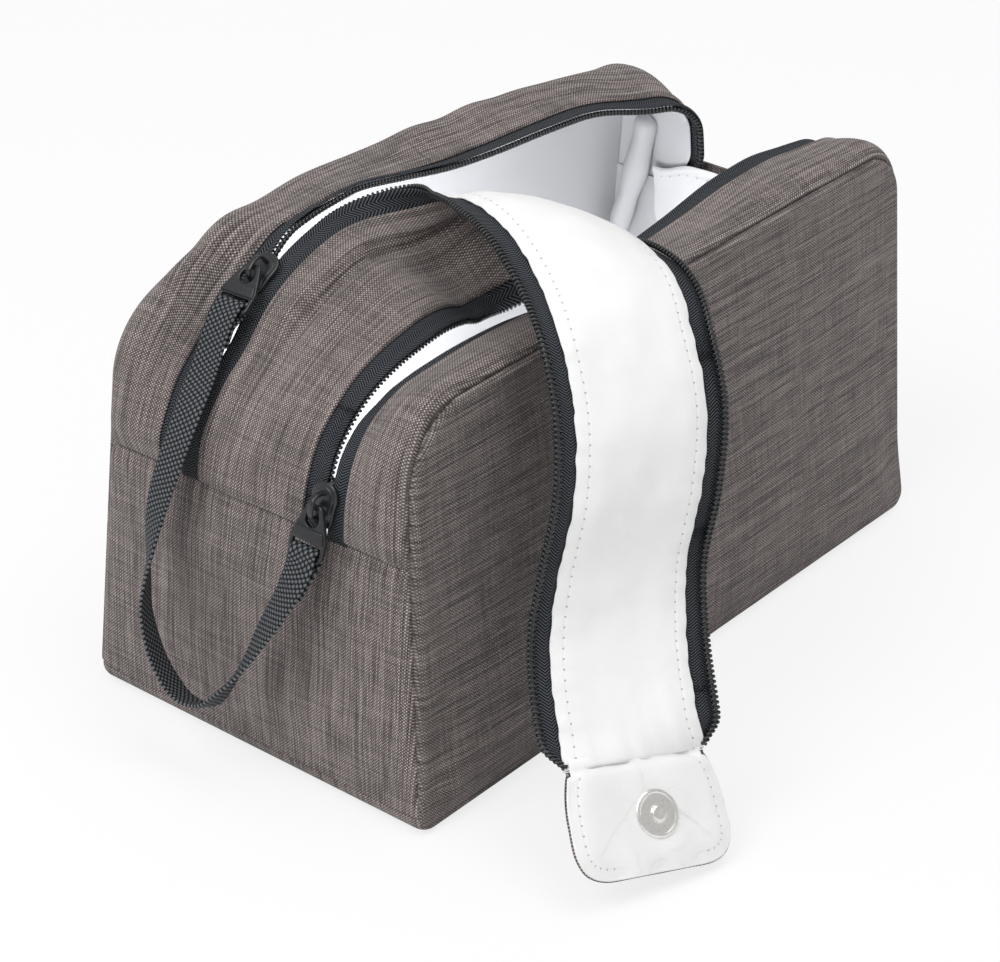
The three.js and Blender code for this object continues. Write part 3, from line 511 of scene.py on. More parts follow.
def edge_places(width: float, step: float, fine: float) -> Array:
    """Places from nought to a width, close together near both ends for a rounded rim."""
    near = fine * np.array([0, 0.06, 0.22, 0.5, 0.8])
    count = max(2, math.ceil((width - 2.4 * fine) / step) + 1)
    middle = np.linspace(1.2 * fine, width - 1.2 * fine, count)
    return np.concatenate([near, middle, width - near[::-1]])


def rounding(inside: Array, radius: float) -> Array:
    """From nought at an edge to one a radius inside it, as a quarter ellipse."""
    return np.sqrt(1 - np.clip(1 - inside / radius, 0, 1) ** 2)


def rim_profile(places: Array, radius: float) -> Array:
    """The rounding at both ends of a row of places."""
    return rounding(np.minimum(places - places[0], places[-1] - places), radius)


def turns(count: int) -> Array:
    """Even angles once round a circle."""
    return 2 * math.pi * np.arange(count) / count


def wrinkles(x: Array, y: Array, size: float, seed: int, count: int = 9) -> Array:
    """Soft unevenness of about one unit: waves in many directions, added up.

    Args:
        x: first coordinate in metres.
        y: second coordinate in metres.
        size: the waves' usual length in metres.
        seed: which unevenness is drawn.
        count: how many waves are added.

    Returns:
        The height at each place.
    """
    draw = np.random.default_rng(seed)
    total = np.zeros_like(x)
    for _ in range(count):
        angle = draw.uniform(0, 2 * math.pi)
        stretch = draw.uniform(0.6, 1.8)
        phase = draw.uniform(0, 2 * math.pi)
        along = (x * math.cos(angle) + y * math.sin(angle)) * (2 * math.pi * stretch / size)
        total = total + np.sin(along + phase) / stretch
    return total / math.sqrt(count)


# Meshes


def linked(name: str, data: Any) -> Any:
    """A new object in the scene."""
    obj = bpy.data.objects.new(name, data)
    bpy.context.scene.collection.objects.link(obj)
    return obj


def finished(name: str, mesh: Any, finish: Finish, sharp: float) -> Any:
    """A new object with smooth faces and its finish, sharp past an angle in degrees if it has one."""
    mesh.polygons.foreach_set("use_smooth", np.ones(len(mesh.polygons), bool))
    if sharp:
        mesh.set_sharp_from_angle(angle=math.radians(sharp))
    mesh.materials.append(finish.material())
    return linked(name, mesh)


def grid_uv(uv: tuple, shape: tuple) -> Array:
    """Two surface coordinates in metres, spread over a whole grid."""
    return np.stack([np.broadcast_to(part, shape) for part in uv], -1)


def make_object(
    name: str, points: Array, faces: Array, uv: Array, finish: Finish, sharp: float = 0
) -> Any:
    """A mesh object with smooth faces that point out, its finish and its surface coordinates.

    Args:
        name: the piece's name.
        points: its corners, and others that no face uses.
        faces: four corners each, with the last two alike in a triangle.
        uv: a surface coordinate in metres for each corner.
        finish: what it is made of.
        sharp: the angle in degrees past which an edge stays sharp, or nought for none.

    Returns:
        The object.
    """
    used, renumbered = np.unique(faces, return_inverse=True)
    points = points[used]
    faces = renumbered.reshape(-1, 4)
    a, b, c, d = (points[faces[:, k]] for k in range(4))
    volume = np.sum((a - points.mean(0)) * np.cross(c - a, d - b))
    order = faces if volume > 0 else faces[:, ::-1]
    same = [order[:, k] == order[:, (k + 1) % 4] for k in range(4)]
    corners = order[~np.any(same, axis=0)].tolist()
    for k in range(4):
        keep = [j for j in range(4) if j != k]
        corners += order[same[k]][:, keep].tolist()
    mesh = bpy.data.meshes.new(name)
    mesh.from_pydata(OUTLINE.pushed(points), [], corners)
    index = np.zeros(len(mesh.loops), np.int32)
    mesh.loops.foreach_get("vertex_index", index)
    layer = mesh.uv_layers.new(name="surface")
    layer.data.foreach_set("uv", uv[used][index].astype(np.float32).ravel())
    return finished(name, mesh, finish, sharp)


def grid_faces(ids: Array, wrap: bool = False) -> Array:
    """Four-sided faces between neighbours in a grid of corner numbers."""
    right = np.roll(ids, -1, axis=1) if wrap else ids[:, 1:]
    left = ids if wrap else ids[:, :-1]
    quads = [left[:-1], right[:-1], right[1:], left[1:]]
    return np.stack(quads, -1).reshape(-1, 4)


def sheet(
    name: str, mid: Array, normal: Array, half: Array, uv: tuple, finish: Finish, wrap: bool = False
) -> Any:
    """A closed sheet: a middle surface moved out and in by half its thickness, joined at its rim.

    Args:
        name: the piece's name.
        mid: the middle surface as a grid of points.
        normal: its unit normals, or one for them all.
        half: half the thickness at each point. The rim's is taken as nought.
        uv: two surface coordinates in metres.
        finish: what it is made of.
        wrap: whether each row closes on itself. Then the first row is the rim and the last a pole.

    Returns:
        The object.
    """
    rows, columns = mid.shape[:2]
    rim = np.zeros((rows, columns), bool)
    rim[0] = True
    if not wrap:
        rim[-1] = True
        rim[:, 0] = True
        rim[:, -1] = True
    offset = normal * np.where(rim, 0, half)[..., None]
    front = mid + offset
    back = mid - offset
    front_ids = np.arange(rows * columns).reshape(rows, columns)
    back_ids = np.where(rim, front_ids, front_ids + rows * columns)
    if wrap:
        front[-1] = front[-1].mean(0)
        back[-1] = back[-1].mean(0)
        front_ids[-1] = front_ids[-1, 0]
        back_ids[-1] = back_ids[-1, 0]
    faces = np.concatenate([grid_faces(front_ids, wrap), grid_faces(back_ids, wrap)[:, ::-1]])
    points = np.concatenate([front.reshape(-1, 3), back.reshape(-1, 3)])
    coordinates = np.tile(grid_uv(uv, (rows, columns)).reshape(-1, 2), (2, 1))
    return make_object(name, points, faces, coordinates, finish)


def tube(name: str, rings: Array, uv: tuple, finish: Finish, sharp: float = 0) -> Any:
    """A closed tube through rings of points, with a fan over each end.

    Args:
        name: the piece's name.
        rings: a grid of points whose rows close on themselves.
        uv: two surface coordinates in metres.
        finish: what it is made of.
        sharp: the angle in degrees past which an edge stays sharp.

    Returns:
        The object.
    """
    first, last = (np.broadcast_to(ring.mean(0), (1, *ring.shape)) for ring in (rings[0], rings[-1]))
    grid = np.concatenate([first, rings, last])
    ids = np.arange(grid.shape[0] * grid.shape[1]).reshape(grid.shape[:2])
    ids[0] = ids[0, 0]
    ids[-1] = ids[-1, 0]
    flat = grid_uv(uv, rings.shape[:2])
    coordinates = np.concatenate([flat[:1], flat, flat[-1:]]).reshape(-1, 2)
    return make_object(name, grid.reshape(-1, 3), grid_faces(ids, True), coordinates, finish, sharp)


def place_piece(obj: Any, body: str, slot: str, *nodes: str) -> Any:
    """Rides a piece on its body and puts it in the place of CAD nodes, which it hides."""
    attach(obj, body)
    if nodes:
        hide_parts(*nodes)
    log.info("%s rides on %s for %s, %d faces", obj.name, body, nodes, len(obj.data.polygons))
    return obj


# The side outline


@dataclass
class SideOutline:
    """The bag's side view: a four-sided figure with rounded corners, walked by its run.

    The run starts at the foot of the near end and goes up, over the top, down the far end and back
    along the base. Each corner is an arc and each side a line.
    """

    near_reach: float = 128 * MM
    far_reach: float = 124.5 * MM
    height: float = 134 * MM
    base_width: float = 138 * MM
    side_lean: float = 10 * MM
    near_lean: float = 8 * MM
    far_lean: float = 1 * MM
    radii: tuple = (6 * MM, 28 * MM, 17 * MM, 7 * MM)
    seam_drop: float = 21.7 * MM
    far_push: float = 3.6 * MM
    arc_points: int = 60

    def __post_init__(self) -> None:
        """Lays the arcs and lines out as one dense path."""
        corners = np.array([
            [-self.near_reach, 0],
            [self.near_lean - self.near_reach, self.height],
            [self.far_reach - self.far_lean, self.height],
            [self.far_reach, 0],
        ])
        radii = np.array(self.radii)
        along = unit(np.roll(corners, -1, 0) - corners)
        out = np.stack([-along[:, 1], along[:, 0]], 1)
        before = np.roll(out, 1, 0)
        cosine = np.sum(before * out, 1)
        centres = corners - (before + out) * (radii / (1 + cosine))[:, None]
        start = np.arctan2(before[:, 1], before[:, 0])
        places = []
        facings = []
        self.marks = []
        count = 0
        for i in range(4):
            angle = start[i] - np.linspace(0, math.acos(cosine[i]), self.arc_points)
            facing = np.stack([np.cos(angle), np.sin(angle)], 1)
            places.append(centres[i] + radii[i] * facing)
            facings.append(facing)
            self.marks.append((count, count + self.arc_points - 1))
            count += self.arc_points
        places.append(places[0][:1])
        facings.append(facings[0][:1])
        self.path = np.concatenate(places)
        self.facing = np.concatenate(facings)
        self.run = lengths(self.path)
        self.arc_runs = [(self.run[a], self.run[b]) for a, b in self.marks]
        line_top = self.path[self.marks[1][0], 1]
        self.seam_height = line_top - self.seam_drop

    def at(self, run: Array) -> tuple[Array, Array, Array, Array]:
        """Place and outward direction at a run: x, z and the direction's x and z."""
        wrapped = np.mod(run, self.run[-1])
        source = np.concatenate([self.path, self.facing], 1)
        return tuple(np.interp(wrapped, self.run, source[:, k]) for k in range(4))

    def inside(self, run: Array, depth: Array, y: Array) -> Array:
        """Points at a depth inside the outline and at a distance across."""
        x, z, nx, nz = self.at(run)
        return np.stack(np.broadcast_arrays(x - depth * nx, y + 0 * x, z - depth * nz), -1)

    def height_at(self, run: Array) -> Array:
        """The heights at a run."""
        return self.at(run)[1]

    def out(self, run: Array) -> Array:
        """The outward directions at a run."""
        nx, nz = self.at(run)[2:]
        return np.stack([nx, 0 * nx, nz], -1)

    def seam_share(self, z: Array) -> Array:
        """How much of its full sink the front's seam keeps at a height: little at the foot."""
        return 0.4 + 0.6 * smooth_step(z / (30 * MM))

    def pushed(self, points: Array) -> Array:
        """The far corners stand out further than the far end's middle, most of all at the top.

        Args:
            points: places on the bag.

        Returns:
            The places, moved along x by two smooth steps and a share that grows with height.
        """
        x, y, z = points[..., 0], points[..., 1], points[..., 2]
        share = smooth_step((x - 60 * MM) / (60 * MM)) * smooth_step((np.abs(y) - 20 * MM) / (30 * MM))
        moved = x + self.far_push * share * (0.7 + 0.3 * z / self.height)
        return np.stack([moved, y, z], -1)

    def half_width(self, z: Array) -> Array:
        """Half of the outside width at a height."""
        return self.base_width / 2 - self.side_lean * z / self.height

    def line_run(self, line: int, z: float) -> float:
        """The run at a height on the near end's line, 0, or on the far end's, 2."""
        a, b = self.arc_runs[line][1], self.arc_runs[line + 1][0]
        za, zb = self.path[self.marks[line][1], 1], self.path[self.marks[line + 1][0], 1]
        return a + (b - a) * (z - za) / (zb - za)

    def near_run(self, z: float) -> float:
        """The run on the near end's line at a height."""
        return self.line_run(0, z)

    def far_run(self, z: float) -> float:
        """The run on the far end's line at a height."""
        return self.line_run(2, z)


OUTLINE = SideOutline()
CENTRE = np.array([0.0, OUTLINE.height / 2])


# The soft box


@dataclass
class SoftBox:
    """The bag's sides, ends and base, padded and rolled into their seams."""

    crown: float = 3.0 * MM
    foot_bulge: float = 2.4 * MM
    lining_depth: float = 4.6 * MM
    unevenness: float = 0.5 * MM
    floor_gap: float = 0.2 * MM
    side_lining_rim: float = 1.9 * MM
    pleat_top: float = 116 * MM
    pleat_fall: float = 92 * MM
    pleat_steps: int = 90
    around: int = 420
    tongue_top: float = 104 * MM
    tongue_half: float = 24.5 * MM
    tongue_spread: float = 38 * MM
    tongue_reach: float = 42 * MM

    def panel(self, name: str, side: int) -> Any:
        """A padded side panel, on rings from its seam to its middle.

        Near the seam a ring lies at an even distance inside the outline, and from there the rings
        shrink towards the middle. The surface leaves the seam square to the side, as a quarter
        ellipse, and crowns towards the middle.

        Args:
            name: the piece's name.
            side: minus one for the front and one for the back.

        Returns:
            The object.
        """
        run = np.linspace(0, OUTLINE.run[-1], self.around, endpoint=False)
        angles = np.linspace(0, math.pi / 2, 9)
        inset = SEAM_SINK + (SEAM_ROLL - SEAM_SINK) * (1 - np.cos(angles))
        proud = SEAM_SINK * (np.sin(angles) - 1)
        kept = OUTLINE.seam_share(OUTLINE.height_at(run)) if side < 0 else np.ones(len(run))
        depths = [*inset, SEAM_ROLL + 3 * MM]
        rings = [OUTLINE.inside(run, depth * kept, 0)[:, [0, 2]] for depth in depths]
        shares = np.linspace(0, 1, 46)[1:] ** 1.15
        flat = np.array(rings[:-1] + [CENTRE + (rings[-1] - CENTRE) * (1 - share) for share in shares])
        reach = np.concatenate([np.zeros(len(inset)), np.sin(shares * math.pi / 2)])[:, None]
        depth = np.concatenate([proud, np.zeros(len(shares))])[:, None]
        x, z = flat[..., 0], flat[..., 1]
        soft = wrinkles(x, z, 90 * MM, 3 + side, 7) * self.unevenness
        pucker = wrinkles(x, z, 16 * MM, 8 + side, 8) * 0.16 * MM
        near_rim = np.exp(-np.arange(len(flat)) / 14)[:, None]
        y = OUTLINE.half_width(z) + depth * kept + reach * (self.crown + soft)
        y = y + pucker * near_rim * (reach > 0)
        y = y + self.foot_bulge * smooth_step(1 - z / (70 * MM)) * smooth_step(reach * 5)
        mid = np.stack([x, side * (y - CLOTH / 2), z], -1)
        half = CLOTH / 2 * np.concatenate([[0, 0.3, 0.7], np.ones(len(flat) - 3)])[:, None]
        # The side cloth's darker pale yarn is painted shade.
        return sheet(name, mid, np.array([0.0, side, 0.0]), half, (x, z), Finish.SIDE_CLOTH, wrap=True)

    def band(self, name: str, start: float, stop: float, bulge: float, end_sink: tuple) -> Any:
        """A band of cloth round part of the outline, rolled into the seams along both sides.

        Args:
            name: the piece's name.
            start: the run where it starts.
            stop: the run where it stops.
            bulge: how far its middle stands proud.
            end_sink: how far it sinks at its start and its stop.

        Returns:
            The object.
        """
        run = edge_places(stop - start, 1.2 * MM, 2.0 * MM)[:, None] + start
        z = OUTLINE.height_at(run)
        half_y = OUTLINE.half_width(z) - SEAM_SINK
        across = np.array([0, 0.02, 0.06, 0.12, 0.2, 0.3, 0.42, 0.56, 0.75, 1.0]) * SEAM_ROLL
        near = across / (2 * half_y.max())
        inner = np.linspace(0, 1, 41)[1:-1]
        share = np.concatenate([near, near[-1] + inner * (1 - 2 * near[-1]), 1 - near[::-1]])
        y = (2 * share - 1) * half_y
        inward = half_y - np.abs(y)
        kept = np.where(y < 0, OUTLINE.seam_share(z), 1.0)
        y = y + np.sign(y) * SEAM_SINK * (1 - kept) * np.clip(1 - inward / (30 * MM), 0, 1)
        sink = SEAM_SINK * kept * (1 - rounding(inward, SEAM_ROLL))
        belly = np.sin(np.clip(inward / half_y, 0, 1) * math.pi / 2)
        ends = (run - run[0], run[-1] - run)
        easing = smooth_step(np.minimum(*ends) / (25 * MM))
        rolls = sum(
            np.clip(1 - end / SEAM_ROLL, 0, 1) ** 2 * deep for end, deep in zip(ends, end_sink)
        )
        soft = wrinkles(run, y, 38 * MM, int(start * 5000), 8) * self.unevenness
        fold = 0.35 * MM * bell(ends[1], 2.7 * MM, 0.5 * MM) * (end_sink[1] > MM)
        proud = bulge * belly * easing + soft * belly * easing - sink - (rolls + fold)
        if not bulge:
            proud = np.minimum(proud, -self.floor_gap)
        return self._layer(name, run, y, proud, CLOTH, Finish.END_CLOTH)

    def _layer(
        self, name: str, run: Array, y: Array, proud: Array, thick: float, finish: Finish
    ) -> Any:
        """A sheet on the outline, standing proud by a field of heights."""
        mid = OUTLINE.inside(run, thick / 2 - proud, y)
        return sheet(name, mid, OUTLINE.out(run), thick / 2, (run, y), finish)

    def side_lining(self, name: str, side: int) -> Any:
        """The lining of a side, flat inside its foam with soft hollows."""
        run = np.linspace(0, OUTLINE.run[-1], 240, endpoint=False)
        rim = OUTLINE.inside(run, self.side_lining_rim, 0)[:, [0, 2]]
        shares = np.concatenate([[0, 0.004, 0.012], np.linspace(0.03, 1, 40)])
        flat = np.array([CENTRE + (rim - CENTRE) * (1 - share) for share in shares])
        x, z = flat[..., 0], flat[..., 1]
        soft = wrinkles(x, z, 60 * MM, 21 + side, 8) * 0.5 * MM
        reach = smooth_step(shares / 0.15)[:, None]
        y = OUTLINE.half_width(z) - self.lining_depth - LINING / 2 + reach * soft
        mid = np.stack([x, side * y, z], -1)
        normal = np.array([0.0, side, 0.0])
        return sheet(name, mid, normal, LINING / 2, (x, z), Finish.GREY_LINING, wrap=True)

    def band_lining(self, name: str, start: float, stop: float, depth: float, folds: float) -> Any:
        """The lining of an end or of the base, with upright folds near the sides."""
        run = edge_places(stop - start, 2.5 * MM, 1.0 * MM)[:, None] + start
        half_y = OUTLINE.half_width(OUTLINE.height_at(run)) - self.lining_depth + 0.1 * MM
        y = (2 * edge_places(1.0, 0.02, 0.008) - 1) * half_y
        fold = wrinkles(0.25 * run, y, 30 * MM, 5 + int(start * 900), 6)
        middle = smooth_step((half_y - np.abs(y)) / (8 * MM))
        proud = -depth - middle * folds * (fold + 1.6)
        return self._layer(name, run, y, proud, LINING, Finish.GREY_LINING)

    def build(self) -> None:
        """Makes the outer panels, the ends, the base and their linings."""
        seam_near = OUTLINE.near_run(OUTLINE.seam_height)
        seam_far = OUTLINE.far_run(OUTLINE.seam_height)
        foot_near = OUTLINE.arc_runs[0][1]
        foot_far = OUTLINE.arc_runs[3][0]
        turn = OUTLINE.run[-1]
        for name, side in (("front", -1), ("back", 1)):
            place_piece(self.panel(f"{name}_side", side), "bag", "shell_fabric", f"{name}_panel")
            lining = self.side_lining(f"{name}_side_lining", side)
            place_piece(lining, "bag", "grey_lining", f"{name}_lining")
        bands = (
            ("near_end", foot_near, seam_near + 0.2 * MM, 2.4, (0.3, 1.1), "near_end_panel"),
            ("far_end", seam_far, foot_far, 1.2, (0.2, 0.3), "far_end_panel"),
            ("base", foot_far, turn + foot_near, 0.0, (0.3, 0.3), "base_panel", "base_board"),
        )
        for name, start, stop, bulge, end_sink, *nodes in bands:
            sinks = tuple(sink * MM for sink in end_sink)
            cloth = self.band(f"{name}_cloth", start, stop, bulge * MM, sinks)
            place_piece(cloth, "bag", "shell_fabric", *nodes)
        linings = (
            ("near_end_lining", foot_near, seam_near, 1.6 * MM, 0.4 * MM),
            ("far_end_lining", seam_far - 7 * MM, foot_far, 2.2 * MM, 0.7 * MM),
            ("base_lining", OUTLINE.arc_runs[3][1], turn, 3.6 * MM, 0.3 * MM),
        )
        for name, start, stop, depth, folds in linings:
            lining = self.band_lining(f"{name}_cloth", start, stop, depth, folds)
            place_piece(lining, "bag", "grey_lining", name)
        self._tongue(seam_far)
        self._pleats()

    def _tongue(self, seam_far: float) -> None:
        """The far end's upper part between the zips, cloth outside and lining inside, with a hem."""
        top = OUTLINE.far_run(self.tongue_top)
        run = edge_places(seam_far - top, 1.2 * MM, 1.0 * MM) + top
        run[-1] = seam_far + 3 * MM
        inner_run = edge_places(self.tongue_reach, 1.2 * MM, 1.0 * MM) + top
        y = edge_places(2.0, 0.06, 0.04) - 1
        proud = 1.6 * MM * smooth_step((seam_far - run[:, None]) / (7 * MM))
        across = np.broadcast_to(y * self.tongue_half, (len(run), len(y)))
        shell = self._layer(
            "far_tongue_cloth", run[:, None], across, proud, CLOTH, Finish.END_CLOTH
        )
        place_piece(shell, "bag", "shell_fabric")
        runs, across = np.meshgrid(inner_run, y * self.tongue_spread, indexing="ij")
        inside = runs - top
        soft = wrinkles(runs, across, 13 * MM, 83, 8) * 0.35 * MM
        stitch = 0.5 * MM * bell(inside, 3.2 * MM, 0.6 * MM)
        hem = 0.7 * MM * smooth_step(inside / (1.0 * MM))
        hem = hem * (1 - smooth_step((inside - 3 * MM) / (1.5 * MM)))
        dip = 5 * MM * smooth_step((np.abs(across) - 20 * MM) / (16 * MM)) * (1 - inside / inside.max())
        sunk = 4.6 * MM - 3.4 * MM * smooth_step((inside - 12 * MM) / (self.tongue_reach - 14 * MM))
        curl = 1.6 * MM * (across / self.tongue_spread) ** 4 * np.exp(-inside / (9 * MM))
        mid = OUTLINE.inside(runs + dip, sunk + curl + hem - soft - stitch, across)
        out = OUTLINE.out(runs + dip)
        lining = sheet(
            "far_tongue_lining", mid, out, LINING / 2, (across, inside), Finish.HEMMED_LINING
        )
        place_piece(lining, "bag", "grey_lining")

    def _pleats(self) -> None:
        """The padded seams that stand in the far corners, where the linings are bound together."""
        t = np.linspace(0, 1, self.pleat_steps)
        for name, side in (("back", 1), ("front", -1)):
            z = self.pleat_top - self.pleat_fall * t
            y = side * (43 + 11 * smooth_step(t * 1.3)) * MM
            x = OUTLINE.far_reach - 7.5 * MM - 6 * MM * np.sin(t * math.pi * 0.6) + 2.5 * MM * (1 - t)
            thick = 7.4 + 1.2 * np.sin(9 * t) + 0.7 * np.sin(31 * t + side)
            thick = thick * MM * rim_profile(t, 0.04)
            pleat = strap(
                f"{name}_corner_pleat", np.stack([x, y, z], 1), np.array([0.6, 0.8 * side, 0.0]),
                thick * 1.15 + 0.2 * MM, thick + 0.2 * MM, (0.9, 0.9), Finish.GREY_LINING,
            )
            place_piece(pleat, "bag", "grey_lining")


# Zips


@dataclass
class CoilSpec:
    """The size of a zip's nylon coil, wound round a soft cord."""

    pitch: float = 1.5 * MM
    across: float = 1.35 * MM
    thick: float = 0.95 * MM
    wire: float = 0.37 * MM
    head: float = 0.3
    cord: float = 0.5 * MM
    steps: int = 12
    sides: int = 6

    def build(self, name: str, path: Array, across: Array, normal: Array) -> Any:
        """Winds the coil along a path, over its cord.

        The wire's middle goes round a flat ellipse as it moves on by one pitch a turn, and its
        section is a circle square to its own path. The wire is thicker at the outer side's heads.

        Args:
            name: the piece's name.
            path: the coil's middle line, as dense points.
            across: the unit direction in the tape's plane at each point, out of the tape.
            normal: the unit direction square to the tape at each point.

        Returns:
            The object.
        """
        total = lengths(path)[-1]
        count = int(total / self.pitch) * self.steps
        run = np.linspace(0, total, count + 1)
        angle = 2 * math.pi * np.arange(count + 1) / self.steps
        middle = resample(path, run)
        side = unit(resample(path, run, across))
        up = unit(resample(path, run, normal))
        wave = side * np.cos(angle)[:, None] * (self.across - self.wire)
        wave = wave + up * np.sin(angle)[:, None] * (self.thick - self.wire)
        line = middle + wave
        along = unit(np.gradient(line, axis=0))
        out = unit(wave - along * np.sum(wave * along, 1, keepdims=True))
        radius = (self.wire * (1 + self.head * np.clip(np.cos(angle), 0, 1) ** 2))[:, None]
        around = turns(self.sides)
        third = np.cross(along, out)
        rings = rings_along(line, out, third, radius * np.cos(around), radius * np.sin(around))
        wire = tube(name, rings, (run[:, None], around * self.wire), Finish.COIL)
        half_turns = slice(None, None, self.steps // 2)
        self._add_cord(wire, middle[half_turns], side[half_turns], up[half_turns])
        return wire

    def _add_cord(self, wire: Any, middle: Array, side: Array, up: Array) -> None:
        """Joins the flat cord that fills the coil to the coil's own mesh."""
        around = turns(8)
        x, y = np.cos(around) * self.cord * 1.3, np.sin(around) * self.cord * 0.8
        rings = rings_along(middle, side, up, x, y)
        cord = tube("cord", rings, (lengths(middle)[:, None], around * self.cord), Finish.COIL)
        work = bmesh.new()
        work.from_mesh(wire.data)
        work.from_mesh(cord.data)
        work.to_mesh(wire.data)
        work.free()
        bpy.data.meshes.remove(cord.data)


@dataclass
class TapeSpec:
    """The size of a zip's tape and of the cord of stitches that lies over its coil."""

    width: float = 7.0 * MM
    thick: float = 0.6 * MM
    ridge: float = 0.45 * MM
    coil_inset: float = 0.65 * MM
    coil_depth: float = 1.75 * MM
    steps: tuple = (0, 0.12, 0.4, 0.9, 1.5, 2.1, 2.7, 3.4, 4.5, 5.8, 6.8)

    def insets(self, *last: float) -> Array:
        """Distances from the tape's edge over the coil, up to its last two in mm."""
        return np.array([*self.steps, *last]) * MM

    def ridge_at(self, inset: Array) -> Array:
        """How high the cord of stitches stands over the coil."""
        return self.ridge * bell(inset, 1.2 * MM, 0.9 * MM)


TAPE = TapeSpec()
COIL = CoilSpec()

BACK_LIFT_SHARES = (
    (0, 0), (0.03, 0), (0.092, -0.07), (0.163, -0.082), (0.217, -0.004), (0.24, 0.05), (0.265, 0.097),
    (0.294, 0.116), (0.34, 0.127), (0.37, 0.127), (0.43, 0.1), (0.5, 0.067), (0.57, 0.049),
    (0.65, 0.037), (0.73, 0.018), (0.8, -0.02), (0.86, -0.03), (0.92, -0.015), (1, 0),
)
FRONT_LIFT_SHARES = (
    (0, 0), (0.045, -0.015), (0.07, -0.034), (0.107, -0.062), (0.165, -0.088), (0.232, -0.07),
    (0.286, -0.063), (0.344, -0.067), (0.384, -0.078), (0.43, -0.095), (0.475, -0.085),
    (0.53, -0.048), (0.6, -0.022), (0.66, 0.004), (0.7, 0.012), (0.74, 0.013), (0.79, -0.004),
    (0.85, -0.02), (0.92, 0), (1, 0),
)
BACK_SWELL_STEPS = (
    (0, 0), (0.1, 2), (0.15, 5), (0.2, 7), (0.3, 7), (0.4, 7.5), (0.5, 8.3), (0.6, 8), (0.66, 6.5),
    (0.72, 4.5), (0.78, 2.8), (0.84, 1.4), (0.9, 0.3), (1, 0),
)


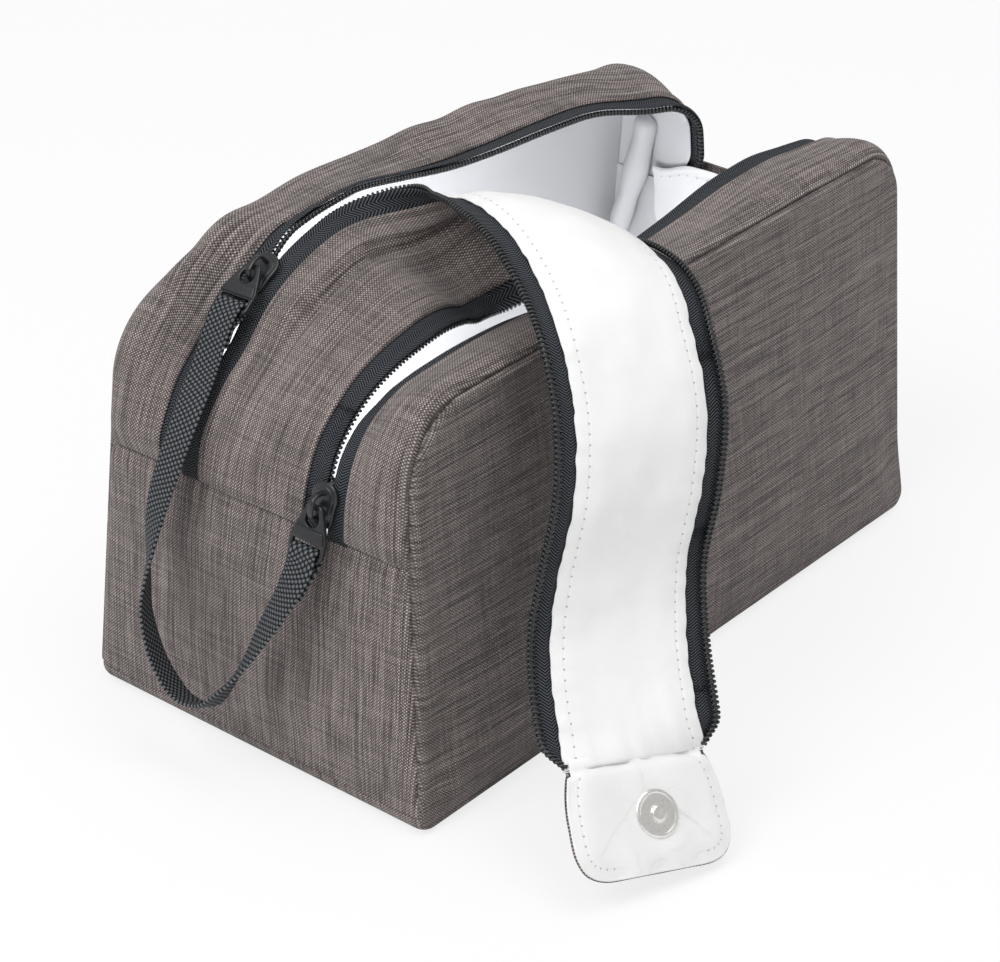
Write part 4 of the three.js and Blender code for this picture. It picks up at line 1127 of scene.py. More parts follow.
@dataclass
class TopStrip:
    """A strip of cloth beside a zip, with its half of the zip, from the near seam to the far seam."""

    name: str
    side: int
    lift_shares: tuple
    seed: int
    swell_steps: tuple = ((0, 0), (1, 0))
    drawn_across: float = 0.0
    zip_edge: float = 30.2 * MM
    crown: float = 1.9 * MM
    lining_depth: float = 1.9 * MM

    def __post_init__(self) -> None:
        """Works out the strip's two edges, dense along its run."""
        start = OUTLINE.near_run(OUTLINE.seam_height)
        stop = OUTLINE.far_run(OUTLINE.seam_height)
        self.run = np.linspace(start, stop, 400)
        self.rows = np.append(np.arange(0, len(self.run), 2), len(self.run) - 1)
        share = (self.run - start) / (stop - start)
        lift = OUTLINE.height * table(self.lift_shares, share)
        half = OUTLINE.half_width(OUTLINE.height_at(self.run))
        self.seam = OUTLINE.inside(self.run, 0, self.side * (half - SEAM_SINK))
        drawn = smooth_step((share - 0.7) / 0.2) * (1 - smooth_step((share - 0.93) / 0.07))
        edge = self.zip_edge - self.drawn_across * drawn
        self.zip = OUTLINE.inside(self.run, -lift, self.side * edge)
        flat = self.zip - self.seam
        self.width = np.linalg.norm(flat, axis=1)
        along = np.gradient((self.seam + self.zip) / 2, axis=0)
        self.out = unit(np.cross(along, flat)) * -self.side
        self.toward_zip = unit(flat)

    def surface(self, rows: Array, across: Any, height: Any) -> Array:
        """Points on some of the strip's rows, at distances from its zip edge, raised by a height.

        Args:
            rows: which of the dense rows are used.
            across: distances from the zip edge, one for all, one for each column or a grid.
            height: how far each point stands out, likewise.

        Returns:
            The grid of points.
        """
        back = self.toward_zip[rows][:, None] * np.asarray(across)[..., None]
        place = self.zip[rows][:, None] - back
        return place + self.out[rows][:, None] * np.asarray(height)[..., None]

    def _place(
        self, piece: str, slot: str, node: str, across: Array, height: Any, half: Any, finish: Finish
    ) -> None:
        """Makes one sheet on the strip and puts it in the place of a node."""
        mid = self.surface(self.rows, across, height)
        out = self.out[self.rows][:, None]
        uv = (self.run[self.rows][:, None], across)
        obj = sheet(f"{self.name}_{piece}", mid, out, half, uv, finish)
        place_piece(obj, "bag", slot, f"{self.name}_{node}")

    def build(self) -> None:
        """Makes the cloth, the lining, the tape with a low ridge over its coil, and the coil."""
        border = TAPE.width - 0.6 * MM
        width = self.width[self.rows][:, None]
        share = np.concatenate([
            [0, 0.01, 0.035, 0.07], np.linspace(0.1, 0.9, 24), [0.93, 0.96, 0.98, 0.992, 1.0]
        ])
        across = border + share * (width - border)
        sunk = SEAM_SINK * (1 - rounding(width - across, SEAM_ROLL))
        belly = np.sin(share * math.pi)
        hem = 0.8 * MM * bell(across - border, 1.3 * MM, 1.5 * MM)
        run = self.run[self.rows][:, None]
        from_start = run - self.run[0]
        easing = smooth_step(np.minimum(from_start, self.run[-1] - run) / (12 * MM))
        soft = wrinkles(run, across, 34 * MM, self.seed, 8) * 0.4 * MM * belly
        turned_in = 1.0 * MM * np.clip(1 - from_start / (4 * MM), 0, 1) ** 2
        swell = table(self.swell_steps, (from_start / (self.run[-1] - self.run[0]))[:, 0])[:, None]
        height = easing * (self.crown * belly + soft + hem) - sunk
        height = height + 0.5 * MM - turned_in + swell * MM * np.sin(math.pi * share**1.6)
        half = CLOTH / 2 * rim_profile(np.arange(len(share)) / 4, 1.0)
        self._place(
            "strip_cloth", "shell_fabric", "strip", across, height - CLOTH / 2, half,
            Finish.STRIP_CLOTH,
        )
        self._place(
            "strip_lining_cloth", "grey_lining", "strip_lining",
            4.6 * MM + edge_places(1.0, 0.06, 0.03) * (width - 6.6 * MM), -self.lining_depth,
            LINING / 2, Finish.GREY_LINING,
        )
        across = TAPE.insets(7.3, 7.5)
        half = TAPE.thick / 2 * rim_profile(across, 0.4 * MM)
        height = TAPE.ridge_at(across) - TAPE.thick / 2
        self._place("tape", "zip_tape", "zip_tape", across, height, half, Finish.TAPE)
        rows = np.arange(3, len(self.run) - 12)
        path = self.surface(rows, TAPE.coil_inset, -TAPE.coil_depth)[:, 0]
        coil = COIL.build(f"{self.name}_coil", path, self.toward_zip[rows], self.out[rows])
        place_piece(coil, "bag", "zip_coil", f"{self.name}_zip_coil")


# The strip between the zips

ROOT_SHARES = (
    ((0.0009, 0.0048, 0), (0, -1, 0)),
    ((0.0446, -0.0125, 0), (0, -1, 0)),
    ((0.0876, -0.0552, 0), (-0.08, -1, -0.01)),
    ((0.1553, -0.0735, 0), (-0.1, -0.99, 0)),
    ((0.2077, -0.027, 0), (-0.04, -0.99, -0.09)),
    ((0.2484, 0.0134, 0), (0, -0.98, -0.19)),
    ((0.2936, 0.037, 0), (0, -0.96, -0.28)),
    ((0.334, 0.043, -0.0065), (0.03, -0.91, -0.41)),
    ((0.3607, 0.0515, -0.039), (0.17, -0.77, -0.62)),
)
TURNED_SHARES = (
    ((0.0238, -0.0514, 0.009), (0.45, -0.55, -0.7)),
    ((0.0384, -0.1196, 0.0388), (0.69, -0.4, -0.6)),
    ((0.0392, -0.2014, 0.0724), (0.83, -0.34, -0.44)),
    ((0.0281, -0.2928, 0.0903), (0.89, -0.34, -0.31)),
    ((0.0099, -0.3841, 0.0851), (0.91, -0.36, -0.22)),
    ((-0.0115, -0.4717, 0.0597), (0.91, -0.39, -0.15)),
    ((-0.042, -0.555, 0.0049), (0.91, -0.39, -0.13)),
    ((-0.0744, -0.6435, -0.1264), (0.897, -0.41, -0.157)),
    ((-0.1033, -0.6797, -0.2854), (0.908, -0.367, -0.2)),
    ((-0.1279, -0.6797, -0.4518), (0.904, -0.374, -0.207)),
    ((-0.1584, -0.7167, -0.6063), (0.855, -0.5, -0.128)),
    ((-0.1924, -0.7942, -0.7428), (0.862, -0.5, -0.09)),
    ((-0.2051, -0.8305, -0.8055), (0.92, -0.34, -0.19)),
)
BOW_SHARES = (
    (5, 0), (6, 0.01), (7, 0.075), (8, 0.155), (9, 0.19), (10, 0.175), (11, 0.14), (12, 0.1),
    (13, 0.065), (14, 0.03), (15, 0), (16, 0),
)
DROOP_STEPS = (
    (0, 0), (88, 0), (98, 0.9), (106, 4.6), (112, 6.6), (118, 5.6), (124, 4.2), (132, 3.2), (154, 2.8),
    (172, 3.3), (182, 2.8), (191, 1.5), (202, 0), (330, 0),
)
RAISED_STEPS = (
    (0, 0), (97, 0), (102, 1.0), (107, 3.0), (112, 3.7), (117, 1.8), (122, 0.3), (128, 0), (330, 0),
)
SQUARE_SHARE = 0.5
BEND_ROW = 14


@dataclass
class Flap:
    """The strip between the zips: a ribbon from the near seam over a slanting crest to the tab."""

    width: float = 56 * MM
    border: float = 7.0 * MM
    bend_half: float = 5.0 * MM
    bend_direction: tuple = (-0.357, -0.917, 0.191)
    count: int = 620

    def __post_init__(self) -> None:
        """Lays out the ribbon's middle line, its direction across and its bow, dense along it."""
        start = OUTLINE.near_run(OUTLINE.seam_height) + 0.3 * MM
        stop = OUTLINE.far_run(OUTLINE.seam_height) - 0.3 * MM
        root = np.array([row[0] for row in ROOT_SHARES])
        run = start + root[:, 0] * (stop - start)
        places = OUTLINE.inside(run, -root[:, 1] * OUTLINE.height, root[:, 2] * OUTLINE.base_width)
        steps = np.array([row[0] for row in TURNED_SHARES])
        scale = [OUTLINE.near_reach + OUTLINE.far_reach, OUTLINE.base_width, OUTLINE.height]
        places = np.concatenate([places, places[-1] + steps * scale])
        wide = np.array([row[1] for row in ROOT_SHARES + TURNED_SHARES], float)
        path, side, row = ribbon_line(places, wide, 3000)
        first, last = BOW_SHARES[0][0], BOW_SHARES[-1][0]
        bow = self.width * table(BOW_SHARES, np.clip(row, first, last)) * (row > first) * (row < last)
        self.length = lengths(path)[-1]
        self.along = np.linspace(0, self.length, self.count)
        self.middle = resample(path, self.along)
        self.rise = resample(path, self.along, bow[:, None])
        tangent = unit(np.gradient(self.middle, axis=0))
        wide = unit(resample(path, self.along, side))
        dot = np.sum(wide * tangent, 1, keepdims=True)
        self.across = unit(wide - SQUARE_SHARE * dot * tangent)
        self.tangent = tangent
        self.inward = unit(np.cross(tangent, self.across))
        self.bend_point = places[BEND_ROW]
        self.drawn_in = 1 - 0.15 * smooth_step(1 - (self.length - self.along) / (11 * MM)) ** 2
        lowered = [table(steps, self.along / MM) * MM for steps in (DROOP_STEPS, RAISED_STEPS)]
        self.droop, self.raised = (amount[:, None] for amount in lowered)
        self.droop_slope, self.raised_slope = (
            np.gradient(amount, self.along)[:, None] for amount in lowered
        )

    def surface(self, across: Array, depth: Array) -> tuple[Array, Array]:
        """Points on the ribbon and the normals there, which point into the lining side.

        Across its width the ribbon bows by a shallow parabola, and its edges draw together by what
        the parabola takes up. Where it turns over, its back part droops and its front edge stands
        higher. The normal is square to the surface's two slopes, and depth is counted along it.

        Args:
            across: distances from the middle line, one column each or a grid.
            depth: how deep each point lies.

        Returns:
            The grid of points and the grid of unit normals.
        """
        half = self.width / 2
        drawn = 1 - 4 * self.rise**2 / (3 * self.width * half)
        share = np.atleast_2d(across) / half
        t = np.clip((0.15 - share) / 1.15, 0, 1)
        s = np.clip((share - 0.1) / 0.9, 0, 1)
        sag_slope = -6 * t * (1 - t) / (1.15 * half)
        hoist_slope = 6 * s * (1 - s) / (0.9 * half)
        lower = self.droop * smooth_step(t) - self.raised * smooth_step(s)
        lower_across = self.droop * sag_slope - self.raised * hoist_slope
        lower_along = self.droop_slope * smooth_step(t) - self.raised_slope * smooth_step(s)
        sideways, inward = self.across[:, None], self.inward[:, None]
        down = np.array([0, 0, -1.0])
        wide = sideways * drawn[..., None] - inward * (2 * self.rise * share / half)[..., None]
        wide = wide + down * lower_across[..., None]
        forward = self.tangent[:, None] + down * lower_along[..., None]
        normal = unit(np.cross(forward, wide))
        place = sideways * (share * half * drawn)[..., None]
        place = place + inward * (self.rise * (1 - share**2))[..., None]
        place = place + down * lower[..., None]
        return self.middle[:, None] + place + normal * np.asarray(depth)[..., None], normal

    def edge(self, sign: int) -> Array:
        """The ribbon's edge on one side, as a path from the near seam."""
        return self.surface(sign * self.width / 2, 0.0)[0][:, 0]

    def _attach(self, piece: Any, slot: str, *nodes: str) -> None:
        """Bakes a piece's place into its mesh and hides the CAD nodes it replaces."""
        direction = unit(np.array(self.bend_direction))
        start = self.bend_point - direction * self.bend_half
        end = self.bend_point + direction * self.bend_half
        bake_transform(piece)
        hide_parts(*nodes)
        log.info("%s bends between bag and flap, %d faces", piece.name, len(piece.data.polygons))

    def _band(
        self, name: str, across: Array, depth: Array, thick: float, rim: float, finish: Finish,
        moved: Array | None = None, inset: Array | None = None,
    ) -> Any:
        """A layer of the ribbon between two distances across it, with rounded long edges.

        Args:
            name: the piece's name.
            across: distances across from the middle line, one for each column.
            depth: the layer's middle depth, for each column or over the whole grid.
            thick: its thickness.
            rim: how far in from its long edges it is rounded.
            finish: what it is made of.
            moved: distances across over the whole grid, where the edges wander.
            inset: the second surface coordinate, where it isn't the distance across.

        Returns:
            The object.
        """
        grid = np.broadcast_to(across, (self.count, len(across)))
        mid, normal = self.surface(grid if moved is None else moved, depth)
        half = thick / 2 * rim_profile(across, rim)
        uv = (self.along[:, None], grid if inset is None else inset)
        return sheet(name, mid, normal, half, uv, finish)

    def build(self) -> None:
        """Makes the ribbon's cloth, white lining, tapes and coils."""
        inner = self.width / 2 - self.border
        places = edge_places(2 * inner, 1.2 * MM, 0.5 * MM) - inner
        grid = np.broadcast_to(places, (self.count, len(places)))
        length = self.along[:, None]
        past = self.length - length
        inset = inner - np.abs(grid)
        side = np.sign(grid) * 40 * MM
        belly = smooth_step(inset / (9 * MM))
        soft = wrinkles(length, grid, 42 * MM, 31, 8) * 0.4 * MM * belly
        turning = smooth_step((length - 42 * MM) / (22 * MM))
        turning = turning * smooth_step((150 * MM - length) / (40 * MM))
        valley = -6.5 * MM - 0.02 * (length - 60 * MM)
        creases = 2.6 * bell(grid, valley, 2.4 * MM) - 2.0 * bell(grid, valley - 7 * MM, 5 * MM)
        creases = (creases + 0.8 * bell(grid, 5 * MM, 4 * MM)) * turning * MM * belly
        start_fold = 1.0 * MM * np.clip(1 - length / (4 * MM), 0, 1) ** 2
        folded = 0.7 * MM * bell(inset, 1.2 * MM, 1.5 * MM)
        depth = CLOTH / 2 + soft * 1.2 - 0.7 * MM * belly - folded + creases + start_fold
        outer = self._band("flap_cloth", places, depth, CLOTH, 0.5 * MM, Finish.STRIP_CLOTH)
        self._attach(outer, "shell_fabric", "flap_root_shell", "flap_shell")
        pucker = wrinkles(length, side, 8 * MM, 47, 10) * 0.22 * MM * np.exp(-inset / (5 * MM))
        fine = wrinkles(length, grid, 17 * MM, 48, 10) * 0.14 * MM * belly
        tucks = wrinkles(0.35 * length, grid, 9 * MM, 53, 7) * 0.55 * MM * np.exp(-past / (9 * MM))
        pressed = 0.9 * MM * np.exp(-past / (1.0 * MM)) + 0.5 * MM * bell(inset, 0, 1.1 * MM)
        depth = 1.9 * MM + 0.7 * MM * belly + soft + fine + pucker + tucks * belly - pressed
        wander = wrinkles(length, side, 7 * MM, 61, 9) * 0.16 * MM
        wander = wander + wrinkles(length, side, 30 * MM, 67) * 0.2 * MM
        edge = smooth_step((3 * MM - inset) / (3 * MM))
        widened = 1 + 0.13 * smooth_step(1 - past / (14 * MM)) ** 2
        moved = (grid + np.sign(grid) * edge * (0.4 * MM + wander)) * widened
        lining = self._band(
            "flap_white_lining", places, depth, LINING, 0.4 * MM, Finish.STITCHED_LINING, moved,
            inset,
        )
        self._attach(lining, "white_lining", "flap_root_lining", "flap_lining")
        for name, sign in (("back", -1), ("front", 1)):
            self._tape(name, sign)
            self._coil(name, sign)

    def _tape(self, name: str, sign: int) -> None:
        """One tape, its ridge on the outer side over the coil."""
        inset = TAPE.insets(7.5, 8.0)
        across = sign * (self.width / 2 - inset)
        piece = self._band(
            f"flap_{name}_zip_tape", across, TAPE.thick / 2 - TAPE.ridge_at(inset) + 0.25 * MM,
            TAPE.thick, 0.4 * MM, Finish.TAPE, across * self.drawn_in[:, None], inset,
        )
        self._attach(piece, "zip_tape", f"flap_root_{name}_tape", f"flap_{name}_tape")

    def _coil(self, name: str, sign: int) -> None:
        """One coil on the lining side, its tips past the tape's edge, with the cord inside it."""
        rows = slice(2, -2)
        across = sign * (self.width / 2 - TAPE.coil_inset) * self.drawn_in[:, None]
        path, normal = (part[:, 0] for part in self.surface(across, TAPE.coil_depth))
        wide = unit(np.cross(normal, self.tangent)) * sign
        wide = wide * np.sign(np.sum(wide * self.across * sign, 1, keepdims=True))
        piece = COIL.build(f"flap_{name}_zip_coil", path[rows], wide[rows], normal[rows])
        self._attach(piece, "zip_coil", f"flap_root_{name}_coil", f"flap_{name}_coil")


# The tab and its snap


@dataclass
class Tab:
    """The rounded tab at the flap's end, with the snap's stud on its lining side."""

    flap: Flap
    length: float = 32 * MM
    root_width: float = 47 * MM
    width: float = 54 * MM
    tip_width: float = 30 * MM
    gap: float = 0.9 * MM
    snap_down: float = 15 * MM
    snap_across: float = 2.4 * MM
    snap_radius: float = 7 * MM
    lean: float = 0.07
    overlap: float = 0.7 * MM

    def __post_init__(self) -> None:
        """Works out the tab's own axes from the flap's end."""
        flap = self.flap
        back = np.searchsorted(flap.along, flap.length - 3.4 * MM)
        across = flap.across[-1]
        down = unit(flap.middle[-1] - flap.middle[back])
        down = unit(down - across * np.dot(down, across))
        inward = np.cross(down, across)
        inward = inward * np.sign(np.dot(inward, flap.inward[-1]))
        self.axes = np.array([across, down, inward])
        self.origin = flap.middle[-1] + down * self.gap

    def outline(self, trim: float) -> Array:
        """Half of the tab's outline inside a trim, from its root's corner to the middle of its tip."""
        root, wide = self.root_width / 2 - trim, self.width / 2 - trim
        third, end = self.length / 3, self.length - trim
        t = np.linspace(0, 1, 80)[:, None]
        points = np.array([[root, 0], [wide, third / 2], [wide, 1.5 * third], [wide, 2 * third]])
        side = (1 - t) ** 3 * points[0] + 3 * (1 - t) ** 2 * t * points[1]
        side = side + 3 * (1 - t) * t**2 * points[2] + t**3 * points[3]
        bend = (1 - t) ** 2 * points[3] + 2 * (1 - t) * t * np.array([wide, end])
        bend = bend + t**2 * np.array([self.tip_width / 2, end])
        return np.concatenate([side, bend[1:], [[0, end]]])

    def place(self, local: Array) -> Array:
        """Points from the tab's own axes, across, down and into the lining, with its slight lean."""
        leaning = local + local[..., 1:2] * np.array([self.lean, 0, 0])
        return self.origin + leaning @ self.axes

    def _pad(
        self, name: str, trim: float, depth: float, thick: float, puff: float, finish: Finish
    ) -> Any:
        """One layer of the tab, crowned between its edge and its middle.

        Args:
            name: the piece's name.
            trim: how far its edge lies inside the outline.
            depth: the depth of its middle surface at its edge.
            thick: its thickness.
            puff: how far it rises towards the lining side inside its edge, negative for the other.
            finish: what it is made of.

        Returns:
            The object.
        """
        half_path = self.outline(trim)
        down = edge_places(half_path[-1, 1] + self.overlap, 0.9 * MM, 1.4 * MM) - self.overlap
        reach = np.interp(down, half_path[:-1, 1], half_path[:-1, 0])
        share = 2 * edge_places(1.0, 0.02, 0.03) - 1
        flat = np.stack(np.broadcast_arrays(reach[:, None] * share, down[:, None]), -1)
        whole = np.concatenate([half_path, (half_path * [-1, 1])[::-1]])
        away = np.linalg.norm(flat[:, :, None] - whole, axis=-1)
        inside = away.min(-1)
        run = lengths(whole)[away.argmin(-1)]
        rise = puff * smooth_step(inside / (6 * MM))
        soft = wrinkles(flat[..., 0], flat[..., 1], 21 * MM, 71, 8) * 0.3 * MM
        soft = soft * smooth_step(inside / (4 * MM))
        pucker = wrinkles(run, 0 * run, 8 * MM, 73, 8) * 0.12 * MM * np.exp(-inside / (3 * MM))
        from_snap = np.linalg.norm(flat - [self.snap_across, self.snap_down], axis=-1)
        quiet = smooth_step((from_snap - self.snap_radius) / (4 * MM))
        dent = 0.9 * MM * bell(flat[..., 1], -self.overlap, 1.6 * MM) * (puff > 0)
        height = depth + rise + (soft + pucker) * quiet - dent
        place = self.place(np.concatenate([flat, height[..., None]], -1))
        half = thick / 2 * rounding(inside, 0.5 * MM)
        return sheet(name, place, self.axes[2], half, (run, inside), finish)

    def build(self) -> None:
        """Makes the tab's shell, lining, root seam and the stud of the snap."""
        shell = self._pad(
            "tab_cloth", 0.0, CLOTH / 2 + 0.5 * MM, CLOTH, -0.7 * MM, Finish.STRIP_CLOTH
        )
        place_piece(shell, "tab", "shell_fabric", "tab_shell")
        lining = self._pad(
            "tab_white_lining", 0.3 * MM, 1.55 * MM, LINING, 0.8 * MM, Finish.STITCHED_LINING
        )
        place_piece(lining, "tab", "white_lining", "tab_lining")
        self._seam()
        place_piece(self._stud(), "tab", "nickel", "snap_stud", "snap_stud_washer")

    def _seam(self) -> None:
        """The folded seam between the flap's end and the tab."""
        half = self.root_width / 2 - 1.0 * MM
        across = edge_places(2 * half, 2 * MM, 0.5 * MM) - half
        down = np.array([-4.2, -3.6, -2.8, -2.0, -1.3, -0.6, 0.2, 1.0, 1.8, 2.4])[:, None] * MM
        height = 1.7 * MM - 0.5 * MM * bell(down, -0.5 * MM, 0.9 * MM)
        local = np.stack(np.broadcast_arrays(across, down, height), -1)
        half_thick = 0.35 * MM * rim_profile(across, 0.5 * MM)
        piece = sheet(
            "tab_root_seam", self.place(local), self.axes[2], half_thick, (across, down),
            Finish.WHITE_LINING,
        )
        start, end = (tuple(self.origin + self.axes[1] * reach * MM) for reach in (-2.2, 0.8))
        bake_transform(piece)

    def _stud(self) -> Any:
        """The snap's disc with its rolled rim and its small central stud, turned from one profile."""
        r = self.snap_radius / MM
        x, z = np.array([
            [0, 0], [5.2, 0], [r, 0.0], [r + 0.15, 0.25], [r + 0.1, 0.7], [r - 0.2, 1.0],
            [r - 0.55, 1.12], [r - 0.9, 1.05], [r - 1.15, 0.85], [4.9, 0.8], [3.5, 0.86], [2.75, 0.9],
            [2.55, 1.0], [2.5, 1.5], [2.35, 1.85], [2.0, 2.08], [1.4, 2.16], [0.7, 2.1], [0, 2.06],
        ])[1:-1].T[..., None] * MM
        angle = turns(96)
        across, down = self.snap_across + x * np.cos(angle), self.snap_down + x * np.sin(angle)
        rings = self.place(np.stack(np.broadcast_arrays(across, down, z + 2.25 * MM), -1))
        return tube("snap_stud_disc", rings, (angle * MM, x), Finish.NICKEL, 35)


# Sliders, pulls and the handle


def flat_plate(
    name: str, outlines: list, thick: float, bevel: float, axes: Array, origin: Array
) -> Any:
    """A metal plate cut from closed outlines, the first its edge and the others holes.

    Its rims are rounded.

    Args:
        name: the piece's name.
        outlines: rows of points in the plate's own plane.
        thick: its thickness.
        bevel: the radius of its rims.
        axes: the plate's own three directions.
        origin: the place of its own zero.

    Returns:
        The object.
    """
    data = bpy.data.curves.new(name, "CURVE")
    data.dimensions = "2D"
    data.fill_mode = "BOTH"
    data.extrude = thick / 2 - bevel
    data.bevel_depth = bevel
    data.bevel_resolution = 3
    data.offset = -bevel
    for outline in outlines:
        spline = data.splines.new("POLY")
        spline.points.add(len(outline) - 1)
        flat = np.zeros((len(outline), 4))
        flat[:, :2] = outline
        flat[:, 3] = 1
        spline.points.foreach_set("co", flat.ravel())
        spline.use_cyclic_u = True
    holder = bpy.data.objects.new(name + "_outline", data)
    mesh = bpy.data.meshes.new_from_object(holder)
    bpy.data.objects.remove(holder)
    bpy.data.curves.remove(data)
    work = bmesh.new()
    work.from_mesh(mesh)
    bmesh.ops.remove_doubles(work, verts=work.verts, dist=0.002 * MM)
    bmesh.ops.recalc_face_normals(work, faces=work.faces)
    work.to_mesh(mesh)
    work.free()
    local = np.zeros(len(mesh.vertices) * 3)
    mesh.vertices.foreach_get("co", local)
    mesh.vertices.foreach_set("co", (origin + local.reshape(-1, 3) @ axes).ravel())
    mesh.polygons.foreach_set("material_index", np.zeros(len(mesh.polygons), np.int32))
    mesh.materials.clear()
    return finished(name, mesh, Finish.METAL, 40)


def rings_along(path: Array, wide: Array, up: Array, x: Array, y: Array) -> Array:
    """Rings of points round a path: x along its first directions and y along its second."""
    return path[:, None] + wide[:, None] * x[..., None] + up[:, None] * y[..., None]


def strap(
    name: str, path: Array, across: Array, width: Any, thick: Any, flatness: tuple, finish: Finish
) -> Any:
    """A closed strap along a path, with a rounded four-sided section square to it.

    Args:
        name: the piece's name.
        path: its middle line.
        across: directions across it, one for each point or one for all.
        width: its width, at each point or for all.
        thick: its thickness, likewise.
        flatness: powers that turn a circle into the section, across it and through it.
        finish: what it is made of.

    Returns:
        The object.
    """
    along = unit(np.gradient(path, axis=0))
    wide = unit(across - along * np.sum(across * along, 1, keepdims=True))
    angle = turns(36)
    x, y = (
        np.broadcast_to(size, len(path))[:, None] / 2 * np.sign(turn) * np.abs(turn) ** power
        for size, turn, power in zip((width, thick), (np.cos(angle), np.sin(angle)), flatness)
    )
    rings = rings_along(path, wide, np.cross(along, wide), x, y)
    return tube(name, rings, (lengths(path)[:, None], x), finish, 60)


@dataclass
class Slider:
    """A zip slider with its arch and its pull, on the chain between a strip and the ribbon."""

    name: str
    strip: TopStrip
    ribbon_edge: Array
    distance: float
    pull_down: tuple
    length: float = 14 * MM
    plate: float = 1.2 * MM
    plate_gap: float = 0.8 * MM
    chain_depth: float = 3.35 * MM
    bridge_span: float = 8.5 * MM
    bridge_height: float = 5.4 * MM
    bridge_bar: float = 1.1 * MM
    bridge_width: float = 1.9 * MM
    pull_length: float = 16 * MM
    pull_top: float = 6 * MM
    pull_width: float = 13 * MM
    pull_thick: float = 1.5 * MM
    hole: float = 2.6 * MM
    bar: float = 1.6 * MM
    slot: float = 3.2 * MM
    slot_width: float = 10.6 * MM
    rest_share: float = 0.68
    shield_places: tuple = (-1, -0.1, 0.25, 0.6, 1)
    shield_widths: tuple = (7.5 * MM, 8.4 * MM, 9.8 * MM, 9.6 * MM, 5.4 * MM)
    crossbar: tuple = (7.1 * MM, 10.7 * MM)
    seat: float = 0.3 * MM
    arch_steps: int = 60

    def __post_init__(self) -> None:
        """Works out the slider's and the pull's axes."""
        tail, tip = (self._chain(self.distance + s * self.length / 2) for s in (-1, 1))
        nose = tip - tail
        nose[1] = 0
        sideways = np.array([0.0, 1.0, 0.0])
        nose = unit(nose)
        out = unit(np.cross(nose, sideways))
        self.axes = np.array([nose, sideways, out])
        self.middle = (tail + tip) / 2
        down = unit(np.array(self.pull_down))
        face = unit(np.cross(down, sideways))
        self.pull_axes = np.array([unit(np.cross(down, face)), down, face])
        rise = self.rest_share * (self.bridge_height - self.bridge_bar)
        rise = self.plate_gap + self.plate + self.seat + rise
        pivot = self.middle + nose * (self.bridge_bar - self.bridge_span) / 2 + out * rise
        self.top = pivot - down * (self.hole + self.bar)
        self.face_sign = np.sign(np.dot(face, out))

    def _chain(self, distance: float) -> Array:
        """A place halfway between the strip's zip edge and the ribbon's edge."""
        at = np.array([distance])
        return (resample(self.strip.zip, at)[0] + resample(self.ribbon_edge, at)[0]) / 2

    def webbing_at(self, past: float, above: float) -> Array:
        """A place on the pull, past its slot's middle and above its plate's middle plane."""
        down = self.pull_length - self.bar - self.slot / 2 + past
        return self.top + self.pull_axes[1] * down + self.pull_axes[2] * self.face_sign * above

    def _shield(self, grow: float) -> Array:
        """The outline of a slider's plate: round at its nose, widest behind it, narrow at its tail."""
        x = np.linspace(-1, 1, 60)
        wide = np.interp(x, self.shield_places, self.shield_widths)
        wide = np.convolve(np.pad(wide, 6, mode="edge"), np.ones(13) / 13, "valid") / 2 + grow
        closed = np.clip((1 - np.abs(x) ** 9), 0, 1) ** 0.5
        one_side = np.stack([x * (self.length / 2 + grow), wide * closed], 1)
        return np.concatenate([one_side, (one_side * [1, -1])[::-1][1:-1]])

    def build(self, body: str) -> None:
        """Makes the body's two plates and neck, the arch and the pull."""
        lift = self.plate_gap + self.plate / 2
        low = -self.chain_depth - self.plate_gap - self.plate / 2 - 0.1 * MM
        plates = (
            ("top", 0, self.plate, 0.5 * MM, lift),
            ("crown", -1.3 * MM, 0.9 * MM, 0.3 * MM, lift + 0.35 * MM),
            ("under", 0, self.plate, 0.5 * MM, low),
        )
        for name, grow, thick, bevel, height in plates:
            place = self.middle + self.axes[2] * height
            plate = flat_plate(
                f"{self.name}_slider_{name}", [self._shield(grow)], thick, bevel, self.axes, place
            )
            nodes = (f"{self.name}_slider_body",) if name == "top" else ()
            place_piece(plate, body, "black_metal", *nodes)
        reach = self.length / 2 - 1.6 * MM
        path = self.middle + self.axes[0] * reach + self.axes[2] * np.linspace(low, lift, 8)[:, None]
        neck = strap(
            f"{self.name}_slider_neck", path, self.axes[0], 1.6 * MM, 0.9 * MM, (0.6, 0.8), Finish.METAL
        )
        place_piece(neck, body, "black_metal")
        self._arch(body)
        self._pull()

    def _arch(self, body: str) -> None:
        """The arch over the slider that the pull hangs on."""
        half = self.bridge_span / 2 - self.bridge_bar / 2
        angle = np.linspace(0, math.pi, 34)
        x = -half * np.sign(np.cos(angle)) * np.abs(np.cos(angle)) ** 0.62
        z = (self.bridge_height - self.bridge_bar / 2) * np.sin(angle) ** 0.62
        base = self.plate_gap + self.plate + self.seat
        foot = np.array([[x[0], -1.0 * MM]])
        flat = np.concatenate([foot, np.stack([x, z], 1), foot * [-1, 1]])
        flat = resample(flat, np.linspace(0, lengths(flat)[-1], self.arch_steps))
        path = self.middle + flat[:, :1] * self.axes[0] + (base + flat[:, 1:]) * self.axes[2]
        share = np.linspace(0, 1, self.arch_steps)
        flare = 1 + 0.45 * smooth_step(1 - 5 * share) + 0.45 * smooth_step(1 - 5 * share[::-1])
        arch = strap(
            f"{self.name}_slider_arch", path, self.axes[1], self.bridge_width * flare, self.bridge_bar,
            (0.7, 0.8), Finish.METAL,
        )
        place_piece(arch, body, "black_metal", f"{self.name}_slider_bridge")

